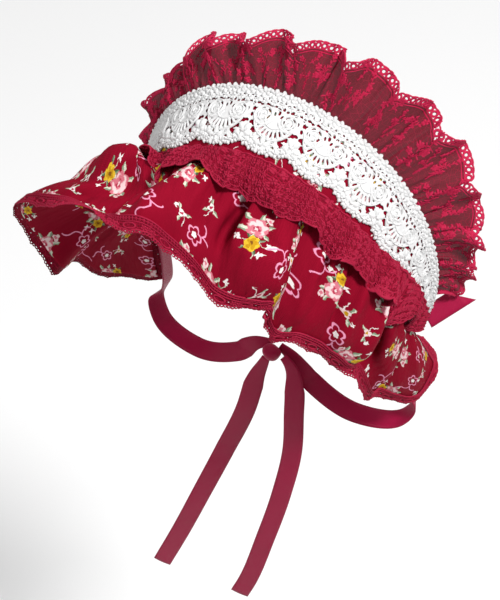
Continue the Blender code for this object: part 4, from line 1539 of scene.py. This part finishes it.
def printed_cotton():
    n = Nodes("printed_cotton")
    shaded = tuple(c * 0.86 for c in CRIMSON[:3]) + (1,)
    colour = n.mix(n.noise(60.0, 3.0), CRIMSON, shaded)

    # Large spray: a ruffled flower, a yellow blossom beside it, leaves and stems with buds
    big = Motif(n, 0.038, (0.013, 0.021), 0.5, 0.72)
    middle = big.polar(-0.0032, 0.0)
    side = big.polar(0.0080, 0.0048)
    bud = big.polar(-0.0085, -0.0092)
    stems = (
        (0.004, -0.012, 0.0125, 0.0006, 0.5, 2.9),
        (-0.013, 0.006, 0.0110, 0.0006, -1.3, 0.6),
        (0.012, 0.012, 0.0085, 0.0006, -3.0, -0.9),
    )
    parts = [(big.arc(*stem), PALE_LEAF) for stem in stems]
    for x, y, turn in ((0.0128, -0.0052, 0.0), (0.0025, 0.0132, 0.7), (0.0165, 0.0010, 1.4)):
        parts.append((big.leaves(big.polar(x, y), 0.0012, 0.0032, 0.0014, 4, turn)[0], CREAM))
    green, lit = big.leaves(middle, 0.0088, 0.0074, 0.0031, 6, turn=0.5)
    parts.append((green, n.mix(lit, LEAF, PALE_LEAF)))
    green, lit = big.leaves(side, 0.0058, 0.0052, 0.0022, 4, turn=0.2)
    parts.append((green, n.mix(lit, DARK_LEAF, LEAF)))
    # Each blossom's layers: spot, radius, petals, depth of the lobes, softness, turn and colour
    for *shape, paint in (
        (middle, 0.0074, 5, 0.20, 0.00025, 0.0, ROSE),
        (middle, 0.0060, 5, 0.32, 0.0006, 0.8, PALE_ROSE),
        (big.polar(-0.0020, 0.0012), 0.0040, 3, 0.40, 0.0005, 0.0, ROSE),
        (big.polar(-0.0026, 0.0006), 0.0024, 3, 0.45, 0.0003, 0.9, DEEP_ROSE),
        (big.polar(-0.0024, 0.0010), 0.0012, 4, 0.40, 0.0003, 0.0, PALE_ROSE),
        (side, 0.0052, 6, 0.25, 0.00025, 0.0, YELLOW),
        (side, 0.0036, 5, 0.40, 0.0004, 0.6, GOLD),
        (side, 0.0014, 3, 0.40, 0.0003, 0.0, OCHRE),
        (bud, 0.0034, 3, 0.40, 0.00025, 0.0, PALE_ROSE),
        (bud, 0.0017, 3, 0.40, 0.0003, 1.0, ROSE),
    ):
        parts.append((big.petals(*shape), paint))
    for mask, paint in parts:
        colour = n.mix(mask, colour, paint)

    # Outlined pink blossom with curled stems, clear of the large spray
    line = Motif(n, 0.030, (0.031, 0.047), 0.5, 0.88, 0.0009)
    away = line.clear_of(big, 0.0172)
    heart = line.polar(0.0, 0.0)
    inner = line.petals(heart, 0.0050, 5, 0.40)
    pink = n.math("SUBTRACT", line.petals(heart, 0.0062, 5, 0.34), inner)
    for curl in (
        (0.0050, -0.0060, 0.0050, 0.0010, -3.1, -1.2),
        (0.0086, -0.0154, 0.0050, 0.0010, 0.3, 1.94),
        (-0.0046, -0.0060, 0.0046, 0.0010, -2.2, 0.0),
    ):
        pink = n.math("MAXIMUM", pink, line.arc(*curl))
    parts = [(pink, PINK, away), (line.petals(heart, 0.0021, 5, 0.3), CREAM, away)]

    # Small spray between them: a pale bell with leaves and a stem
    small = Motif(n, 0.0170, (0.4, 0.15), 0.6, 0.82)
    clear = n.math("MULTIPLY", small.clear_of(big, 0.0150), small.clear_of(line, 0.0110))
    spot = small.polar(0.0, 0.0)
    leaf, lit = small.leaves(spot, 0.0050, 0.0056, 0.0021, 3)
    pips, _ = small.leaves(small.polar(0.0062, -0.0030), 0.0008, 0.0022, 0.0011, 4)
    petal = n.mix(n.math("GREATER_THAN", small.chance, 0.62), PALE_ROSE, CREAM)
    heart = n.mix(n.math("GREATER_THAN", small.chance, 0.35), GOLD, DEEP_ROSE)
    parts.append((small.arc(0.0, -0.008, 0.0086, 0.0006, 0.5, 2.7), CREAM, clear))
    parts.append((leaf, n.mix(lit, LEAF, PALE_LEAF), clear))
    parts.append((pips, CREAM, clear))
    parts.append((small.petals(spot, 0.0032, 3, 0.45), petal, clear))
    parts.append((small.petals(spot, 0.0014, 3, 0.3, 0.0003, 1.57), heart, clear))
    for mask, paint, where in parts:
        colour = n.mix(n.math("MULTIPLY", mask, where), colour, paint)

    crumple = n.noise(1.0, 3.0, n.vector("MULTIPLY", n.uv, CRUMPLES_PER_METRE))
    weave = n.math("ADD", n.weave(COTTON_THREADS, 0.0), n.weave(COTTON_THREADS, math.pi / 2))
    normal = n.bump(crumple, 0.0045, 0.8)
    normal = n.bump(weave, 0.00008, 0.5, normal)
    normal = n.bump(n.noise(900.0), 0.0002, 0.3, normal)
    return n.finish(colour, 0.8, normal)


def thread_material(name, colour, roughness):
    """Embroidery thread, with fine ribs and a little variation."""
    n = Nodes(name)
    darker = tuple(c * 0.72 for c in colour) + (1,)
    mixed = n.mix(n.noise(420.0), darker, (*colour, 1))
    return n.finish(mixed, roughness, n.bump(n.weave(THREAD_RIBS, 0.6), 0.0001, 0.22))


def net_material(name, colour, thread, cover, pitch, faint):
    """Net ground with curls of thread, and small openings that let a little through, painted darker as
    the shade seen through them.
    """
    n = Nodes(name)
    cells = n.cells(n.uv, pitch, 0.25)
    opening = n.ramp(cells.outputs["Distance"], 0.10, 0.22)
    drift = n.vector("MULTIPLY_ADD", n.noise(240.0, output="Color"), (0.0030, 0.0030, 0.0), n.uv)
    curls = n.cells(drift, NET_CURL)
    curl = n.math("MULTIPLY", n.ramp(curls.outputs["Distance"], 0.03, 0.08, 1.0, 0.0), faint)
    # Painted shade: the openings are darkened to stand for the shade seen through them
    seen_through_shade = tuple(c * 0.55 for c in colour) + (1,)
    mixed = n.mix(curl, n.mix(opening, (*colour, 1), seen_through_shade), (*thread, 1))
    see = n.math("MULTIPLY", opening, n.math("SUBTRACT", 1.0, curl))
    n.fill(n.shader, Alpha=n.math("MULTIPLY_ADD", see, cover - 1, 1.0))
    return n.finish(mixed, 0.7, n.bump(curl, 0.0003, 0.6))


def satin():
    n = Nodes("satin_ribbon")
    colour = n.mix(n.noise(35.0), (0.285, 0.004, 0.037, 1), (0.345, 0.006, 0.049, 1))
    n.fill(n.shader, Anisotropic=0.5)
    return n.finish(colour, 0.42, n.bump(n.weave(SATIN_THREADS, 0.0), 0.00006, 0.5), 0.14)


# Studio
FLOOR_BELOW = 0.45
CAMERA_AZIMUTH = 26.0
CAMERA_ELEVATION = 52.0
CAMERA_DISTANCE = 1.0
FOCAL_PIXELS = 1750.0
FRAME_PIXELS = (500, 600)
HEAD_PIXEL = (302, 210)
SENSOR = 36.0
FLOOR_HALF = 6.0
PAPER = (0.97, 0.97, 0.97, 1)
WORLD_LIGHT = 0.41
LIT_SPOT = (0.0, 0.0, -0.1)
# Each light's name, place, size and power
LIGHTS = (
    ("key", (0.9, -0.1, 1.5), 0.35, 36),
    ("fill", (-1.3, -0.8, 0.9), 1.0, 9),
    ("back", (0.3, 1.3, 1.1), 1.0, 8),
)


def camera_axes():
    azimuth = math.radians(CAMERA_AZIMUTH)
    elevation = math.radians(CAMERA_ELEVATION)
    level = math.cos(elevation)
    back = (math.sin(azimuth) * level, -math.cos(azimuth) * level, math.sin(elevation))
    right = Vector((math.cos(azimuth), math.sin(azimuth), 0))
    return right, Vector(back).cross(right), Vector(back)


def add_camera():
    right, up, back = camera_axes()
    head = Vector(mount_shift())
    middle_x = (FRAME_PIXELS[0] / 2 - HEAD_PIXEL[0]) / FOCAL_PIXELS
    middle_y = (HEAD_PIXEL[1] - FRAME_PIXELS[1] / 2) / FOCAL_PIXELS
    aim = (-back + right * middle_x + up * middle_y).normalized()
    side = aim.cross(up).normalized()
    data = bpy.data.cameras.new("camera")
    data.sensor_width = SENSOR
    data.sensor_fit = "AUTO"
    data.lens = FOCAL_PIXELS / FRAME_PIXELS[1] * SENSOR
    camera = in_scene("camera", data)
    turn = Matrix((side, side.cross(aim), -aim)).transposed().to_4x4()
    camera.matrix_world = Matrix.Translation(head + back * CAMERA_DISTANCE) @ turn
    bpy.context.scene.camera = camera


def add_light(name, place, size, power):
    data = bpy.data.lights.new(name, "AREA")
    data.shape = "DISK"
    data.size = size
    data.energy = power
    light = in_scene(name, data)
    light.rotation_euler = (Vector(LIT_SPOT) - Vector(place)).to_track_quat("-Z", "Y").to_euler()
    light.location = place


def add_studio():
    low = CAD_BOX[0][2] - FLOOR_BELOW
    corners = [(x * FLOOR_HALF, y * FLOOR_HALF, low) for x, y in ((-1, -1), (1, -1), (1, 1), (-1, 1))]
    mesh = bpy.data.meshes.new("floor")
    mesh.from_pydata(corners, [], [(0, 1, 2, 3)])
    paper = bpy.data.materials.new("white_paper")
    paper.use_nodes = True
    shader = paper.node_tree.nodes["Principled BSDF"]
    shader.inputs["Base Color"].default_value = PAPER
    shader.inputs["Roughness"].default_value = 0.9
    mesh.materials.append(paper)
    in_scene("floor", mesh)
    world = bpy.data.worlds.new("studio")
    world.use_nodes = True
    background = world.node_tree.nodes["Background"]
    background.inputs["Color"].default_value = (1, 1, 1, 1)
    background.inputs["Strength"].default_value = WORLD_LIGHT
    bpy.context.scene.world = world
    for light in LIGHTS:
        add_light(*light)
    bpy.context.scene.view_settings.view_transform = "Standard"


def main():
    cotton = printed_cotton()
    white = thread_material("white_guipure", (0.79, 0.79, 0.79), 0.7)
    red_thread = thread_material("red_thread", (0.385, 0.014, 0.048), 0.6)
    bright_thread = thread_material("bright_thread", (0.54, 0.020, 0.075), 0.6)
    fine_net = net_material("red_net", (0.17, 0.0025, 0.016), (0.40, 0.012, 0.050), 0.95, 0.0011, 0.38)
    dense_colours = ((0.22, 0.0022, 0.018), (0.32, 0.007, 0.035))
    dense_net = net_material("red_dense_net", *dense_colours, 1.0, 0.0013, 0.8)
    ribbon_satin = satin()
    make_band(cotton)
    brim, brim_grid = make_brim(cotton)
    make_guipure(white)
    make_back_frill(fine_net, bright_thread)
    make_front_frill(dense_net, red_thread)
    make_edge_lace(dense_net, red_thread)
    make_ribbons(ribbon_satin)
    make_knot(ribbon_satin)
    add_studio()
    add_camera()


main()
bpy.context.view_layer.update()
